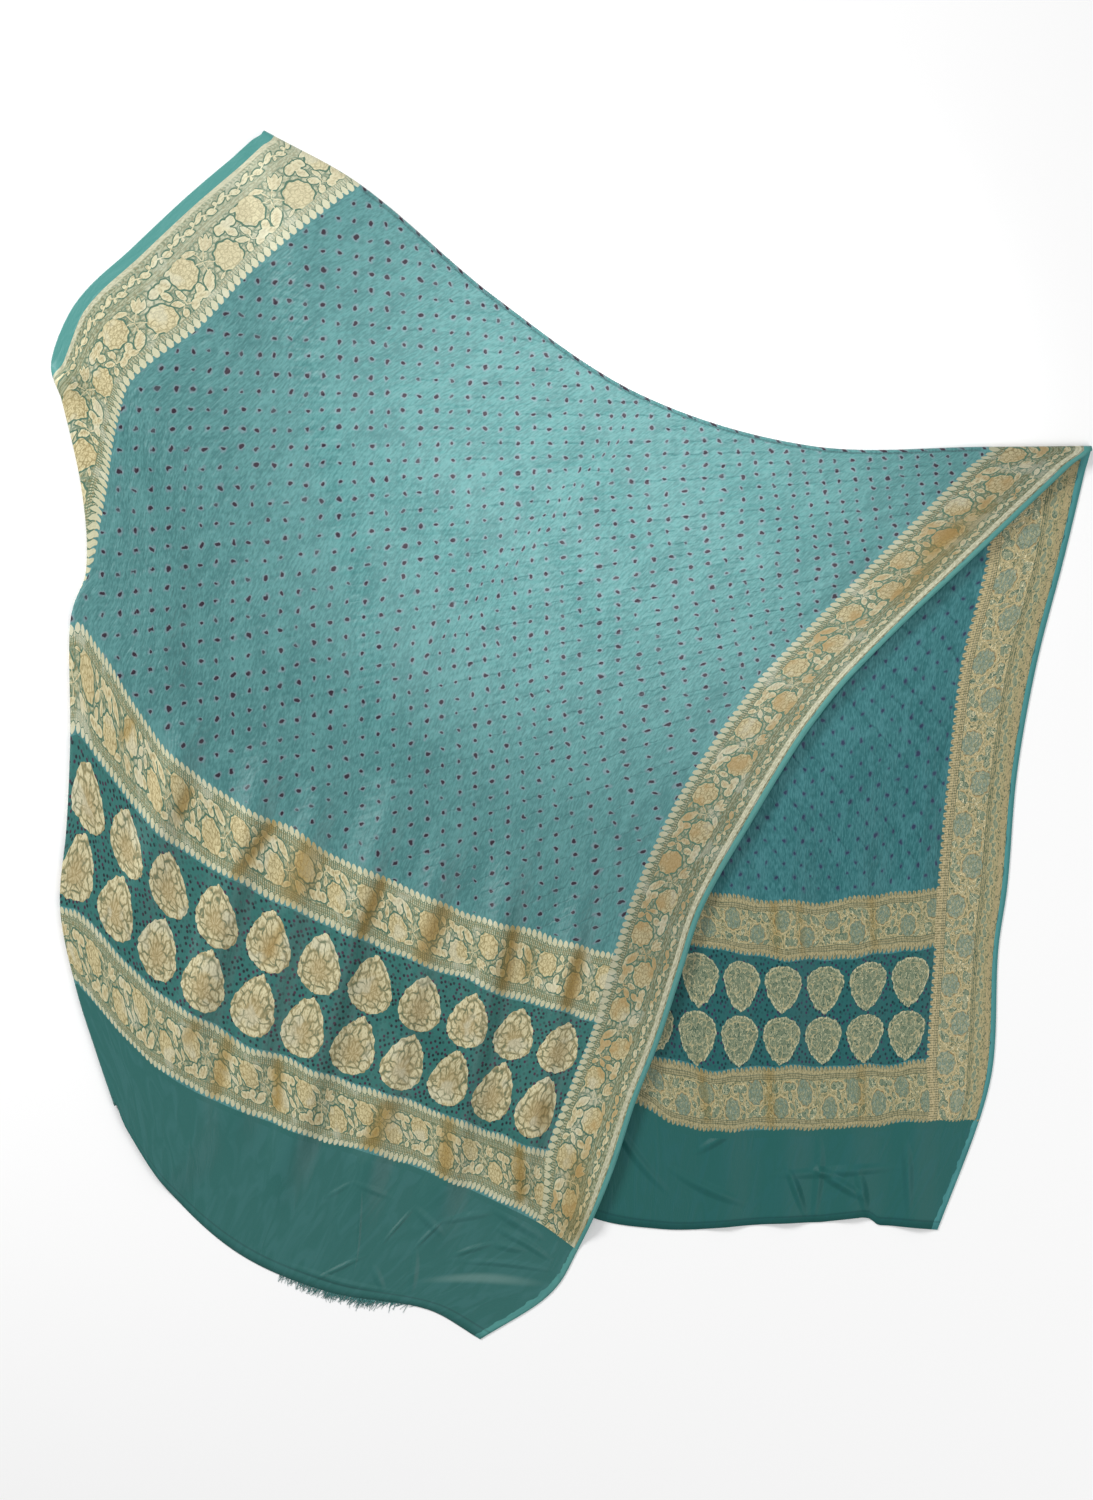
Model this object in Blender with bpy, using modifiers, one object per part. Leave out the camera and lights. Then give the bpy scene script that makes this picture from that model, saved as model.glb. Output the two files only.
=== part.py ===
"""Bandhani dupatta: one length of crepe georgette, folded once across its length and laid out flat.

The near half lies on top, face up, and its left border is turned under along the left outline. The far half
lies beneath it, reverse side up, and shows as a triangle on the right. Metres, +Z up, the underside at z = 0.
"""

import math

import bpy
import numpy as np

MM = 0.001
NAME = "cloth"

# The sheet
THICKNESS = 1.5 * MM
LAYER_RISE = 10.0 * MM  # from the far half's middle surface to the near half's
BEND_WIDTH = 9.4 * MM  # of cloth in the bend where the left border turns under, about 3 mm in radius
LEAST_TAIL = 3.0 * MM  # of cloth past that bend
RAMP = 40.0 * MM  # over which the near half comes down off what lies beneath it
QUIET = 30.0 * MM  # beside a bend, the folds fade out over this width
CENTRE = (-0.2 * MM, 0.3 * MM)  # of the tables' outline, moved to the origin

# The grid
COLUMNS = 44
ROWS_NEAR = 32
ROWS_FAR = 17
OUTLINE_STEP = 12.0  # mm along, over which the outline's direction is read
ROWS_WHERE_TURNING = (709.0, 716.0, 722.0, 735.0, 741.0, 747.0)  # mm along, where the border starts to turn under
BEND_STEPS = 4
TAIL_STEPS = 2

# A section is one thread line across the cloth, in mm. along: its distance from the near end. turned: the width
# folded under beyond the outline. Then x and y of seven places across it: the outline at the left, the inner side
# of the left border, three places in the field, the inner side of the right border and the right selvedge.
NEAR_HALF = (
    # name, along, turned, outline, inner, field a, field b, field c, border, selvedge
    ("near end", 0, 98, -488, -396, -482, -409, -433, -484, -356, -554, -261, -595, -154, -614, -97, -646),
    ("plain end", 75, 98, -508, -337, -500, -342, -433, -425, -326, -490, -213, -532, -93, -570, -25, -600),
    ("low band foot", 150, 95, -530, -266, -524, -273, -427, -366, -299, -422, -166, -462, -37, -520, 7, -551),
    ("low band head", 225, 78, -546, -183, -529, -188, -424, -286, -296, -350, -160, -395, -26, -444, 43, -470),
    ("buttis", 297, 82, -539, -97, -528, -95, -422, -203, -287, -273, -144, -326, 1, -369, 68, -394),
    ("high band foot", 370, 88, -535, -1, -529, -2, -422, -121, -278, -196, -129, -258, 25, -307, 94, -327),
    ("high band head", 448, 85, -535, 121, -526, 123, -424, -16, -278, -110, -121, -183, 46, -230, 119, -251),
    ("field 1", 516, 94, -518, 177, -510, 180, -411, 48, -260, -49, -98, -122, 68, -165, 142, -182),
    ("field 2", 618, 62, -523, 264, -495, 266, -382, 137, -227, 36, -59, -35, 110, -73, 195, -89),
    ("field 3", 706, 12, -544, 358, -483, 342, -349, 209, -190, 106, -18, 35, 157, 2, 243, -10),
    ("field 4", 747, 0, -556, 400, -473, 374, -331, 240, -171, 136, 2, 66, 181, 35, 269, 26),
    ("field 5", 788, 0, -531, 461, -447, 400, -310, 270, -150, 165, 25, 96, 205, 66, 296, 59),
    ("field 6", 873, 0, -469, 522, -394, 439, -264, 327, -103, 223, 75, 156, 265, 128, 358, 122),
    ("field 7", 958, 0, -408, 579, -339, 498, -210, 381, -49, 275, 131, 211, 325, 188, 425, 185),
    ("ridge", 1128, 0, -328, 646, -225, 588, -80, 467, 76, 363, 257, 309, 446, 308, 556, 309),
)
FAR_HALF = (
    # name, along, turned, outline, inner, field a, field b, field c, border, selvedge
    ("ridge", 1128, 0, -328, 646, -225, 588, -80, 467, 76, 363, 257, 309, 446, 308, 556, 309),
    ("field 8", 1247, 0, -290, 506, -198, 449, -63, 337, 87, 239, 258, 192, 444, 189, 528, 192),
    ("field 9", 1365, 0, -254, 363, -172, 305, -49, 200, 93, 108, 256, 72, 417, 76, 498, 76),
    ("field 10", 1483, 0, -219, 217, -149, 160, -37, 65, 97, -21, 251, -50, 403, -40, 477, -42),
    ("far band head", 1602, 0, -192, 72, -129, 18, -28, -70, 98, -151, 246, -173, 392, -158, 467, -160),
    ("far band foot", 1672, 0, -187, 5, -124, -48, -20, -136, 104, -217, 245, -243, 388, -230, 457, -230),
    ("far low head", 1790, 0, -183, -106, -119, -162, -16, -249, 100, -348, 242, -356, 380, -350, 452, -348),
    ("far low foot", 1852, 0, -178, -164, -112, -219, -10, -309, 104, -412, 243, -421, 381, -412, 437, -411),
    ("far end", 1967, 0, -170, -273, -103, -353, 1, -503, 95, -528, 213, -523, 331, -524, 392, -529),
)

# Folds that stand up from the sheet, in mm. Each runs from its start to its end, with a rounded section of the
# given half width and height, and fades in and out over shares of its length (0: it runs on past that end).
NEAR_FOLDS = (
    # name, x and y of the start, x and y of the end, half width, height, fade in, fade out
    ("butti fold 1", -392, 57, -483, -241, 30, 9, 0.35, 0.3),
    ("butti fold 2", -317, 13, -421, -380, 30, 15, 0.35, 0.3),
    ("butti fold 3", -258, -18, -367, -462, 27, 11, 0.3, 0.3),
    ("butti fold 4", -188, -30, -317, -516, 30, 17, 0.3, 0.25),
    ("butti fold 5", -124, -72, -236, -551, 27, 12, 0.3, 0.0),
    ("butti fold 6", -55, -94, -151, -560, 30, 17, 0.3, 0.0),
    ("butti fold 7", 20, -135, -71, -540, 25, 13, 0.3, 0.3),
    ("shoulder swag", -300, 420, 60, 90, 95, 6, 0.4, 0.4),
    ("middle swag", -110, 380, 120, 60, 90, 7, 0.4, 0.4),
    ("ridge swag", 60, 300, 330, 100, 80, 5, 0.4, 0.4),
    ("field swag", -380, 180, -60, -60, 90, 6, 0.4, 0.4),
    ("border fold", 330, 225, 230, 110, 24, 7, 0.4, 0.4),
)
FAR_FOLDS = (
    # name, x and y of the start, x and y of the end, half width, height, fade in, fade out
    ("far fold 1", 170, -20, 165, -530, 30, 3.0, 0.4, 0.0),
    ("far fold 2", 240, 10, 228, -530, 30, 4.0, 0.4, 0.0),
    ("far fold 3", 310, 60, 300, -530, 32, 3.5, 0.4, 0.0),
    ("far fold 4", 380, 80, 365, -530, 28, 4.0, 0.4, 0.0),
)


def clear_scene():
    for old in list(bpy.data.objects):
        bpy.data.objects.remove(old)


def ease(share):
    """0 below 0, 1 above 1 and a smooth rise between."""
    share = np.clip(share, 0.0, 1.0)
    return share * share * (3.0 - 2.0 * share)


def unit(vectors):
    return vectors / np.hypot(vectors[..., 0], vectors[..., 1])[..., None]


def smooth_through(knots, values, at):
    """A smooth curve through the values at the knots, read off at the given places."""
    knots = np.asarray(knots, float)
    values = np.asarray(values, float)
    at = np.asarray(at, float)
    wide = (slice(None),) + (None,) * (values.ndim - 1)
    slopes = np.empty_like(values)
    slopes[1:-1] = (values[2:] - values[:-2]) / (knots[2:] - knots[:-2])[wide]
    slopes[0] = (values[1] - values[0]) / (knots[1] - knots[0])
    slopes[-1] = (values[-1] - values[-2]) / (knots[-1] - knots[-2])
    low = np.clip(np.searchsorted(knots, at, side="right") - 1, 0, len(knots) - 2)
    step = knots[low + 1] - knots[low]
    t = ((at - knots[low]) / step)[wide]
    step = step[wide]
    start = (1 + 2 * t) * (1 - t) ** 2 * values[low] + t * (1 - t) ** 2 * step * slopes[low]
    end = t * t * (3 - 2 * t) * values[low + 1] - t * t * (1 - t) * step * slopes[low + 1]
    return start + end


def plan(sections, rows, shares):
    """(rows, columns, 2) places in plan, in metres, for the distances along and the shares across."""
    lines = []
    for section in sections:
        places = np.array(section[3:], float).reshape(-1, 2)
        steps = np.hypot(*np.diff(places, axis=0).T)
        across = np.append(0.0, np.cumsum(steps)) / steps.sum()
        lines.append(smooth_through(across, places, shares))
    along = [section[1] for section in sections]
    return smooth_through(along, np.stack(lines), rows) * MM


def edge_bend(sections, rows):
    """How the left edge bends under at each row: its angle, the straight tail past the bend and the way in."""
    along = [section[1] for section in sections]
    turned = np.interp(rows, along, [section[2] for section in sections]) * MM
    angle = math.pi * np.clip(turned / (BEND_WIDTH + LEAST_TAIL), 0.0, 1.0)
    tail = np.maximum(LEAST_TAIL, turned - BEND_WIDTH)
    ahead = plan(sections, np.clip(rows + OUTLINE_STEP, along[0], along[-1]), [0.0])[:, 0]
    behind = plan(sections, np.clip(rows - OUTLINE_STEP, along[0], along[-1]), [0.0])[:, 0]
    course = unit(ahead - behind)
    square = np.stack([course[:, 1], -course[:, 0]], axis=1)
    start = plan(sections, rows, [0.0, 0.02])
    thread = unit(start[:, 1] - start[:, 0])
    share = (angle / math.pi)[:, None]
    return angle, tail, unit(thread * (1.0 - share) + square * share)


def edge_columns(angle, tail):
    """Reach outwards and drop of the bent edge's columns, outermost first: (rows, columns) each."""
    reach, drop = [], []
    for step in range(1, BEND_STEPS + 1):
        share = step / BEND_STEPS
        bent = np.maximum(angle * share, 1e-6)
        reach.append(BEND_WIDTH * share * np.sin(bent) / bent)
        drop.append(BEND_WIDTH * share * (1.0 - np.cos(bent)) / bent)
    for step in range(1, TAIL_STEPS + 1):
        reach.append(reach[BEND_STEPS - 1] + tail * np.cos(angle) * step / TAIL_STEPS)
        drop.append(drop[BEND_STEPS - 1] + tail * np.sin(angle) * step / TAIL_STEPS)
    return np.stack(reach[::-1], axis=1), np.stack(drop[::-1], axis=1)


def widest_reach(angle, tail):
    """How far the bent edge reaches outwards from where it starts to bend."""
    reach, _ = edge_columns(np.minimum(angle, 0.5 * math.pi), np.where(angle > 0.5 * math.pi, 0.0, tail))
    narrowed = BEND_WIDTH / np.maximum(angle, 0.5 * math.pi)
    return np.where(angle > 0.5 * math.pi, narrowed, reach[:, 0])


def with_edge(surface, angle, tail, inward):
    """The surface with the columns of its bent left edge put before it."""
    reach, drop = edge_columns(angle, tail)
    start = surface[:, :1]
    places = start[..., :2] - inward[:, None] * reach[..., None]
    return np.concatenate([np.concatenate([places, start[..., 2:] - drop[..., None]], axis=-1), surface], axis=1)


def relief(folds, places):
    """Height of the folds above the lying sheet, in metres."""
    height = np.zeros(places.shape[:-1])
    for _, x0, y0, x1, y1, half_width, top, fade_in, fade_out in folds:
        start = np.array((x0, y0)) * MM
        axis = np.array((x1 - x0, y1 - y0)) * MM
        length = math.hypot(*axis)
        axis = axis / length
        away = places - start
        run = (away @ axis) / length
        off = np.abs(away @ np.array((-axis[1], axis[0]))) / (half_width * MM)
        section = np.cos(0.5 * math.pi * np.clip(off, 0.0, 1.0)) ** 2
        rise = ease(run / fade_in)
        fall = ease((1.0 - run) / fade_out) if fade_out else 1.0
        height = np.maximum(height, top * MM * section * rise * fall)
    return height


def distance_to(line, places):
    """Shortest distance in plan from each place to the line."""
    nearest = np.full(places.shape[:-1], np.inf)
    for start, end in zip(line[:-1], line[1:]):
        side = end - start
        share = np.clip(((places - start) @ side) / (side @ side), 0.0, 1.0)
        gap = places - start - share[..., None] * side
        nearest = np.minimum(nearest, np.hypot(gap[..., 0], gap[..., 1]))
    return nearest


def inside(outline, places):
    """Whether each place lies within the closed outline."""
    within = np.zeros(places.shape[:-1], bool)
    for start, end in zip(outline, np.roll(outline, -1, axis=0)):
        crosses = (start[1] > places[..., 1]) != (end[1] > places[..., 1])
        rise = end[1] - start[1] if end[1] != start[1] else 1e-12
        where = start[0] + (places[..., 1] - start[1]) * (end[0] - start[0]) / rise
        within ^= crosses & (places[..., 0] < where)
    return within


def cover_of_far_half(places):
    """1 over the far half, falling to 0 past its hidden left and lower edges."""
    rows = np.linspace(FAR_HALF[0][1], FAR_HALF[-1][1], 24)
    shares = np.linspace(0.0, 1.0, 24)
    far = plan(FAR_HALF, rows, shares)
    hidden = np.concatenate([far[:, 0], far[-1, 1:]])
    right = far[::-1, -1] + (2 * RAMP, 0.0)
    ridge = far[0, ::-1] + (0.0, 2 * RAMP)
    outline = np.concatenate([hidden, right, ridge])
    gap = distance_to(hidden, places)
    return np.where(inside(outline, places), 1.0, ease(1.0 - gap / RAMP))


def set_in(places, reach, inward):
    """The places moved in beside the left edge, so that the bent edge keeps to the outline, and each gap to it."""
    gaps = np.hypot(*np.moveaxis(places[:, :, None] - places[None, None, :, 0], -1, 0))
    nearest = gaps.argmin(axis=2)
    gap = gaps.min(axis=2)
    return places + (inward * reach[:, None])[nearest] * ease(1.0 - gap / QUIET)[..., None], gap, nearest


def near_surface(rows, shares):
    """Middle surface of the near half, its bent left edge included."""
    angle, tail, inward = edge_bend(NEAR_HALF, rows)
    places, gap, nearest = set_in(plan(NEAR_HALF, rows, shares), widest_reach(angle, tail), inward)
    edge_drop = edge_columns(angle, tail)[1].max(axis=1)
    under = np.where(angle > 0.5 * math.pi, tail, 0.0)
    over_edge = edge_drop[nearest] * ease(1.0 - (gap - under[nearest]) / RAMP)
    base = np.maximum(over_edge, LAYER_RISE * cover_of_far_half(places))
    to_ridge = (NEAR_HALF[-1][1] - np.asarray(rows)[:, None]) * MM
    calm = ease(to_ridge / QUIET) * np.where(angle[nearest] > 0.0, ease(gap / QUIET), 1.0)
    height = 0.5 * THICKNESS + base + relief(NEAR_FOLDS, places) * calm
    return with_edge(np.concatenate([places, height[..., None]], axis=-1), angle, tail, inward)


def far_surface(rows, shares):
    """Middle surface of the far half."""
    angle, tail, inward = edge_bend(FAR_HALF, rows)
    places, _, _ = set_in(plan(FAR_HALF, rows, shares), widest_reach(angle, tail), inward)
    height = 0.5 * THICKNESS + relief(FAR_FOLDS, places)
    return with_edge(np.concatenate([places, height[..., None]], axis=-1), angle, tail, inward)


def ridge_bend(ridge):
    """Rows of the soft fold at the top, and the plan shift that keeps its outside on the outline."""
    course = unit(np.gradient(ridge[:, :2], axis=0))
    outward = np.stack([-course[:, 1], course[:, 0]], axis=1)
    radius = 0.5 * LAYER_RISE
    rows = []
    for step in range(1, BEND_STEPS):
        angle = math.pi * (0.5 - step / BEND_STEPS)
        out = outward * radius * (math.cos(angle) - 1.0)
        height = 0.5 * THICKNESS + radius * (1.0 + math.sin(angle))
        rows.append(np.column_stack([ridge[:, :2] + out, np.full(len(ridge), height)]))
    return np.stack(rows), -outward * radius


def sheet_grid():
    """The whole middle surface: (rows, columns, 3), from the near end and from the left edge."""
    shares = np.linspace(0.0, 1.0, COLUMNS)
    near_rows = np.linspace(NEAR_HALF[0][1], NEAR_HALF[-1][1], ROWS_NEAR)
    near_rows = np.union1d(near_rows, ROWS_WHERE_TURNING)
    far_rows = np.linspace(FAR_HALF[0][1], FAR_HALF[-1][1], ROWS_FAR)
    near = near_surface(near_rows, shares)
    far = far_surface(far_rows, shares)
    bend, shift = ridge_bend(near[-1])
    near[..., :2] += shift * ease(1.0 - (near_rows[-1] - near_rows) * MM / QUIET)[:, None, None]
    far[..., :2] += shift * ease(1.0 - (far_rows - far_rows[0]) * MM / QUIET)[:, None, None]
    return np.concatenate([near, bend, far]) - (*CENTRE, 0.0)


def fabric(name, colour, roughness):
    material = bpy.data.materials.new(name)
    material.use_nodes = True
    shader = material.node_tree.nodes["Principled BSDF"]
    shader.inputs["Base Color"].default_value = colour
    shader.inputs["Roughness"].default_value = roughness
    shader.inputs["Metallic"].default_value = 0.0
    material.diffuse_color = colour
    return material


def build():
    clear_scene()
    collection = bpy.data.collections.new("bandhani_dupatta")
    bpy.context.scene.collection.children.link(collection)
    grid = sheet_grid()
    rows, columns = grid.shape[:2]
    bpy.ops.mesh.primitive_grid_add(x_subdivisions=columns - 1, y_subdivisions=rows - 1, size=1.0)
    cloth = bpy.context.object
    cloth.name = NAME
    cloth.data.name = NAME
    for vertex, place in zip(cloth.data.vertices, grid.reshape(-1, 3)):
        vertex.co = place
    for other in list(cloth.users_collection):
        other.objects.unlink(cloth)
    collection.objects.link(cloth)

    body = cloth.modifiers.new("sheet thickness", "SOLIDIFY")
    body.thickness = THICKNESS
    body.offset = 0.0
    body.use_rim = True
    cloth.data.materials.append(fabric("teal georgette", (0.075, 0.215, 0.205, 1.0), 0.75))
    cloth.data.shade_smooth()


build()
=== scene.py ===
# %% [markdown]
# # A bandhani dupatta, laid out and folded once
#
# The real piece is one length of crepe georgette: teal, tie-dyed all over with tiny dots, with gold
# borders woven down both sides and a panel of gold flower drops across each end. It lies folded once
# across its length. The near half is on top, face up, and the far half shows at the right, reverse up.
#
# The packed solid already has the outline and the main folds. Here the same thread lines are laid again
# on a much finer grid, each point keeps its place in the weave, and every pattern is drawn from that
# place. So a pattern bends, narrows and goes under with the cloth, as a woven one does.

# %% Start from the packed cloth
import math

import bpy
import numpy as np
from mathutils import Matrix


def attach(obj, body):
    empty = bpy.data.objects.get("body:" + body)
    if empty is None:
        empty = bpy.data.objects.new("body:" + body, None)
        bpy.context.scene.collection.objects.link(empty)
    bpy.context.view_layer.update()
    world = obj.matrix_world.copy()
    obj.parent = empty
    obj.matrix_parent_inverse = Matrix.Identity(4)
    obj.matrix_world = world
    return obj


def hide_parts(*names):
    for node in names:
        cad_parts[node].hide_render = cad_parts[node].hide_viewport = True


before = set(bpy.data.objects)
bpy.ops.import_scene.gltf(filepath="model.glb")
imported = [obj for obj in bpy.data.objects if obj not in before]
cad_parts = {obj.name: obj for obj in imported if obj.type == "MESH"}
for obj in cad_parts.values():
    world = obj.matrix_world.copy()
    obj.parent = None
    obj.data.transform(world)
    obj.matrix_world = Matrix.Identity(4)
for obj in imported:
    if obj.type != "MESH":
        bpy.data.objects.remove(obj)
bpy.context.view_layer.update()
MM = 0.001

# %% [markdown]
# ## Thread lines
#
# A cloth hangs or lies by its threads, so the sheet is laid out by a few thread lines across it. Each
# row below is one line, in millimetres. The numbers say how far it is from the near end, how much of the
# left border is turned under there, which thread lies on the left outline, and where seven known threads
# lie. A smooth curve through the rows gives every line between them.

# %% The near half and the far half, thread line by thread line
NEAR_HALF = (
    # name, along, turned, thread on the outline, then x and y of: outline, inner side of the left
    # border, field a, b and c, inner side of the right border, right selvedge
    ("near end", 0, 98, 98, -488, -396, -482, -409, -433, -484, -356, -554, -261, -595, -154, -614, -97, -646),
    ("plain end", 75, 104, 104, -508, -337, -500, -342, -433, -425, -326, -490, -213, -532, -93, -570, -25, -600),
    ("low band foot", 150, 118, 118, -530, -266, -524, -273, -427, -366, -299, -422, -166, -462, -37, -520, 7, -551),
    ("low band head", 225, 120, 120, -546, -183, -529, -188, -424, -286, -296, -350, -160, -395, -26, -444, 43, -470),
    ("drops", 297, 104, 104, -539, -97, -528, -95, -422, -203, -287, -273, -144, -326, 1, -369, 68, -394),
    ("high band foot", 370, 106, 106, -535, -1, -529, -2, -422, -121, -278, -196, -129, -258, 25, -307, 94, -327),
    ("high band head", 448, 107, 107, -535, 121, -526, 123, -424, -16, -278, -110, -121, -183, 46, -230, 119, -251),
    ("field 1", 516, 98, 98, -518, 177, -510, 180, -411, 48, -260, -49, -98, -122, 68, -165, 142, -182),
    ("field 2", 618, 66, 79, -523, 264, -495, 266, -382, 137, -227, 36, -59, -35, 110, -73, 195, -89),
    ("field 3", 706, 12, 38, -544, 358, -483, 342, -349, 209, -190, 106, -18, 35, 157, 2, 243, -10),
    ("field 4", 747, 0, 0, -556, 400, -473, 374, -331, 240, -171, 136, 2, 66, 181, 35, 269, 26),
    ("field 5", 788, 0, 0, -531, 461, -447, 400, -310, 270, -150, 165, 25, 96, 205, 66, 296, 59),
    ("field 6", 873, 0, 0, -469, 522, -394, 439, -264, 327, -103, 223, 75, 156, 265, 128, 358, 122),
    ("field 7", 958, 0, 0, -408, 579, -339, 498, -210, 381, -49, 275, 131, 211, 325, 188, 425, 185),
    ("ridge", 1128, 0, 0, -328, 646, -225, 588, -80, 467, 76, 363, 257, 309, 446, 308, 556, 309),
)
FAR_HALF = (
    # name, along, turned, thread on the outline, then x and y of the same seven places
    ("ridge", 1128, 0, 0, -328, 646, -225, 588, -80, 467, 76, 363, 257, 309, 446, 308, 556, 309),
    ("field 8", 1247, 0, 0, -290, 506, -198, 449, -63, 337, 87, 239, 258, 192, 444, 189, 528, 192),
    ("field 9", 1365, 0, 0, -254, 363, -172, 305, -49, 200, 93, 108, 256, 72, 417, 76, 498, 76),
    ("field 10", 1483, 0, 0, -219, 217, -149, 160, -37, 65, 97, -21, 251, -50, 403, -40, 477, -42),
    ("far band head", 1602, 0, 0, -192, 72, -129, 18, -28, -70, 98, -151, 246, -173, 392, -158, 467, -160),
    ("far band foot", 1672, 0, 0, -187, 5, -124, -48, -20, -136, 104, -217, 245, -243, 388, -230, 457, -230),
    ("far low head", 1790, 0, 0, -183, -106, -119, -162, -16, -249, 100, -348, 242, -356, 380, -350, 452, -348),
    ("far low foot", 1852, 0, 0, -178, -164, -112, -219, -10, -309, 104, -412, 243, -421, 381, -412, 437, -411),
    ("far end", 1967, 0, 0, -170, -273, -103, -353, 1, -503, 95, -528, 213, -523, 331, -524, 392, -529),
)
THREADS = {  # mm from the left selvedge to the last six places, at the near bands, the ridge and the far bands
    "near": (104, 268, 437, 617, 820, 920),
    "ridge": (104, 283, 462, 641, 820, 920),
    "far": (104, 258, 413, 617, 820, 920),
}
SLIP = {  # mm by which the threads have slid round the left edge there; the slip dies out at the right border
    "plain end": 10, "low band foot": 25, "low band head": 42, "drops": 18, "high band foot": 9, "high band head": 12,
}
WIDTH = 920.0  # mm of cloth from selvedge to selvedge
LEFT_BORDER = 104.0
RIGHT_BORDER = 100.0
RIDGE = 1128  # mm along the cloth to the soft fold at the top
FIELD = (448, 1602)  # mm along to the start and the end of the dyed field
ENDS = (150.0, 1852.0)  # the borders run between these distances
THICKNESS = 0.8 * MM
LYING_HEIGHT = 0.75 * MM  # of the middle of the cloth above the table, where it lies flat
LEAST_HEIGHT = 0.5 * MM  # and at the least
LAYER_RISE = 10.0 * MM  # from the far half to the near half above it
BEND_WIDTH = 9.4 * MM  # of cloth in the bend of the turned border
LEAST_TAIL = 3.0 * MM
RAMP = 40.0 * MM  # over which the near half comes down off what lies beneath it
QUIET = 30.0 * MM  # beside a bend, folds fade out over this width
CENTRE = (-0.2 * MM, 0.3 * MM)

# %% [markdown]
# ## Smooth curves through the lines
#
# A polyline through seven places would show as corners. `smooth_through` runs one smooth curve through
# any list of values, so the same few lines of code bend a thread line, join the lines to each other and
# read off which thread is where.

# %% Helpers for laying the sheet
COLUMNS = 168
ROWS_NEAR = 150
ROWS_FAR = 72
OUTLINE_STEP = 12.0
BEND_STEPS = 8
TAIL_STEPS = 4


def ease(share):
    """0 below 0, 1 above 1 and a smooth rise between."""
    share = np.clip(share, 0.0, 1.0)
    return share * share * (3.0 - 2.0 * share)


def unit(vectors):
    return vectors / np.hypot(vectors[..., 0], vectors[..., 1])[..., None]


def smooth_through(knots, values, at):
    """A smooth curve through the values at the knots, read off at the given places."""
    knots = np.asarray(knots, float)
    values = np.asarray(values, float)
    at = np.asarray(at, float)
    wide = (slice(None),) + (None,) * (values.ndim - 1)
    slopes = np.empty_like(values)
    slopes[1:-1] = (values[2:] - values[:-2]) / (knots[2:] - knots[:-2])[wide]
    slopes[0] = (values[1] - values[0]) / (knots[1] - knots[0])
    slopes[-1] = (values[-1] - values[-2]) / (knots[-1] - knots[-2])
    low = np.clip(np.searchsorted(knots, at, side="right") - 1, 0, len(knots) - 2)
    step = knots[low + 1] - knots[low]
    t = ((at - knots[low]) / step)[wide]
    step = step[wide]
    start = (1 + 2 * t) * (1 - t) ** 2 * values[low] + t * (1 - t) ** 2 * step * slopes[low]
    end = t * t * (3 - 2 * t) * values[low + 1] - t * t * (1 - t) * step * slopes[low + 1]
    return start + end


def threads_at(section):
    """Which thread lies on each of the seven places of a line."""
    along = section[1]
    if along > RIDGE:
        share = ease((along - RIDGE) / (FIELD[1] - RIDGE))
        ends = THREADS["ridge"], THREADS["far"]
    else:
        share = ease((along - FIELD[0]) / (RIDGE - FIELD[0]))
        ends = THREADS["near"], THREADS["ridge"]
    threads = [a + (b - a) * share for a, b in zip(*ends)]
    right_border = WIDTH - RIGHT_BORDER
    slip = SLIP.get(section[0], 0) / (right_border - LEFT_BORDER)
    return [section[3], *(thread + slip * max(right_border - thread, 0) for thread in threads)]


def plan(sections, rows, shares):
    """(rows, columns, 3): place in plan and thread, in metres, for distances along and shares across."""
    lines = []
    for section in sections:
        places = np.array(section[4:], float).reshape(-1, 2)
        steps = np.hypot(*np.diff(places, axis=0).T)
        across = np.append(0.0, np.cumsum(steps)) / steps.sum()
        lines.append(smooth_through(across, np.column_stack([places, threads_at(section)]), shares))
    along = [section[1] for section in sections]
    return smooth_through(along, np.stack(lines), rows) * MM


print("a line of", COLUMNS, "points, and", ROWS_NEAR + ROWS_FAR, "of them")

# %% [markdown]
# ## The border turned under
#
# In the near half most of the left border is folded under the cloth along the left outline. The edge is
# a short bend and a flat tail: the angle goes from nothing, where the border lies open, to a half turn.
# Making it as ordinary extra columns keeps the sheet one grid with no seam.

# %% The bent edge


def edge_bend(sections, rows):
    """How the left edge bends under at each row: its angle, the straight tail past the bend and the way in."""
    along = [section[1] for section in sections]
    turned = np.interp(rows, along, [section[2] for section in sections]) * MM
    angle = math.pi * np.clip(turned / (BEND_WIDTH + LEAST_TAIL), 0.0, 1.0)
    tail = np.maximum(LEAST_TAIL, turned - BEND_WIDTH)
    ahead = plan(sections, np.clip(rows + OUTLINE_STEP, along[0], along[-1]), [0.0])[:, 0]
    behind = plan(sections, np.clip(rows - OUTLINE_STEP, along[0], along[-1]), [0.0])[:, 0]
    course = unit((ahead - behind)[:, :2])
    square = np.stack([course[:, 1], -course[:, 0]], axis=1)
    start = plan(sections, rows, [0.0, 0.02])[..., :2]
    thread = unit(start[:, 1] - start[:, 0])
    share = (angle / math.pi)[:, None]
    return angle, tail, unit(thread * (1.0 - share) + square * share)


def edge_columns(angle, tail):
    """Reach outwards, drop and width of cloth of the bent edge's columns, outermost first."""
    reach, drop, cloth = [], [], []
    for step in range(1, BEND_STEPS + 1):
        share = step / BEND_STEPS
        bent = np.maximum(angle * share, 1e-6)
        reach.append(BEND_WIDTH * share * np.sin(bent) / bent)
        drop.append(BEND_WIDTH * share * (1.0 - np.cos(bent)) / bent)
        cloth.append(np.full_like(angle, BEND_WIDTH * share))
    for step in range(1, TAIL_STEPS + 1):
        reach.append(reach[BEND_STEPS - 1] + tail * np.cos(angle) * step / TAIL_STEPS)
        drop.append(drop[BEND_STEPS - 1] + tail * np.sin(angle) * step / TAIL_STEPS)
        cloth.append(BEND_WIDTH + tail * step / TAIL_STEPS)
    return [np.stack(found[::-1], axis=1) for found in (reach, drop, cloth)]


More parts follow.
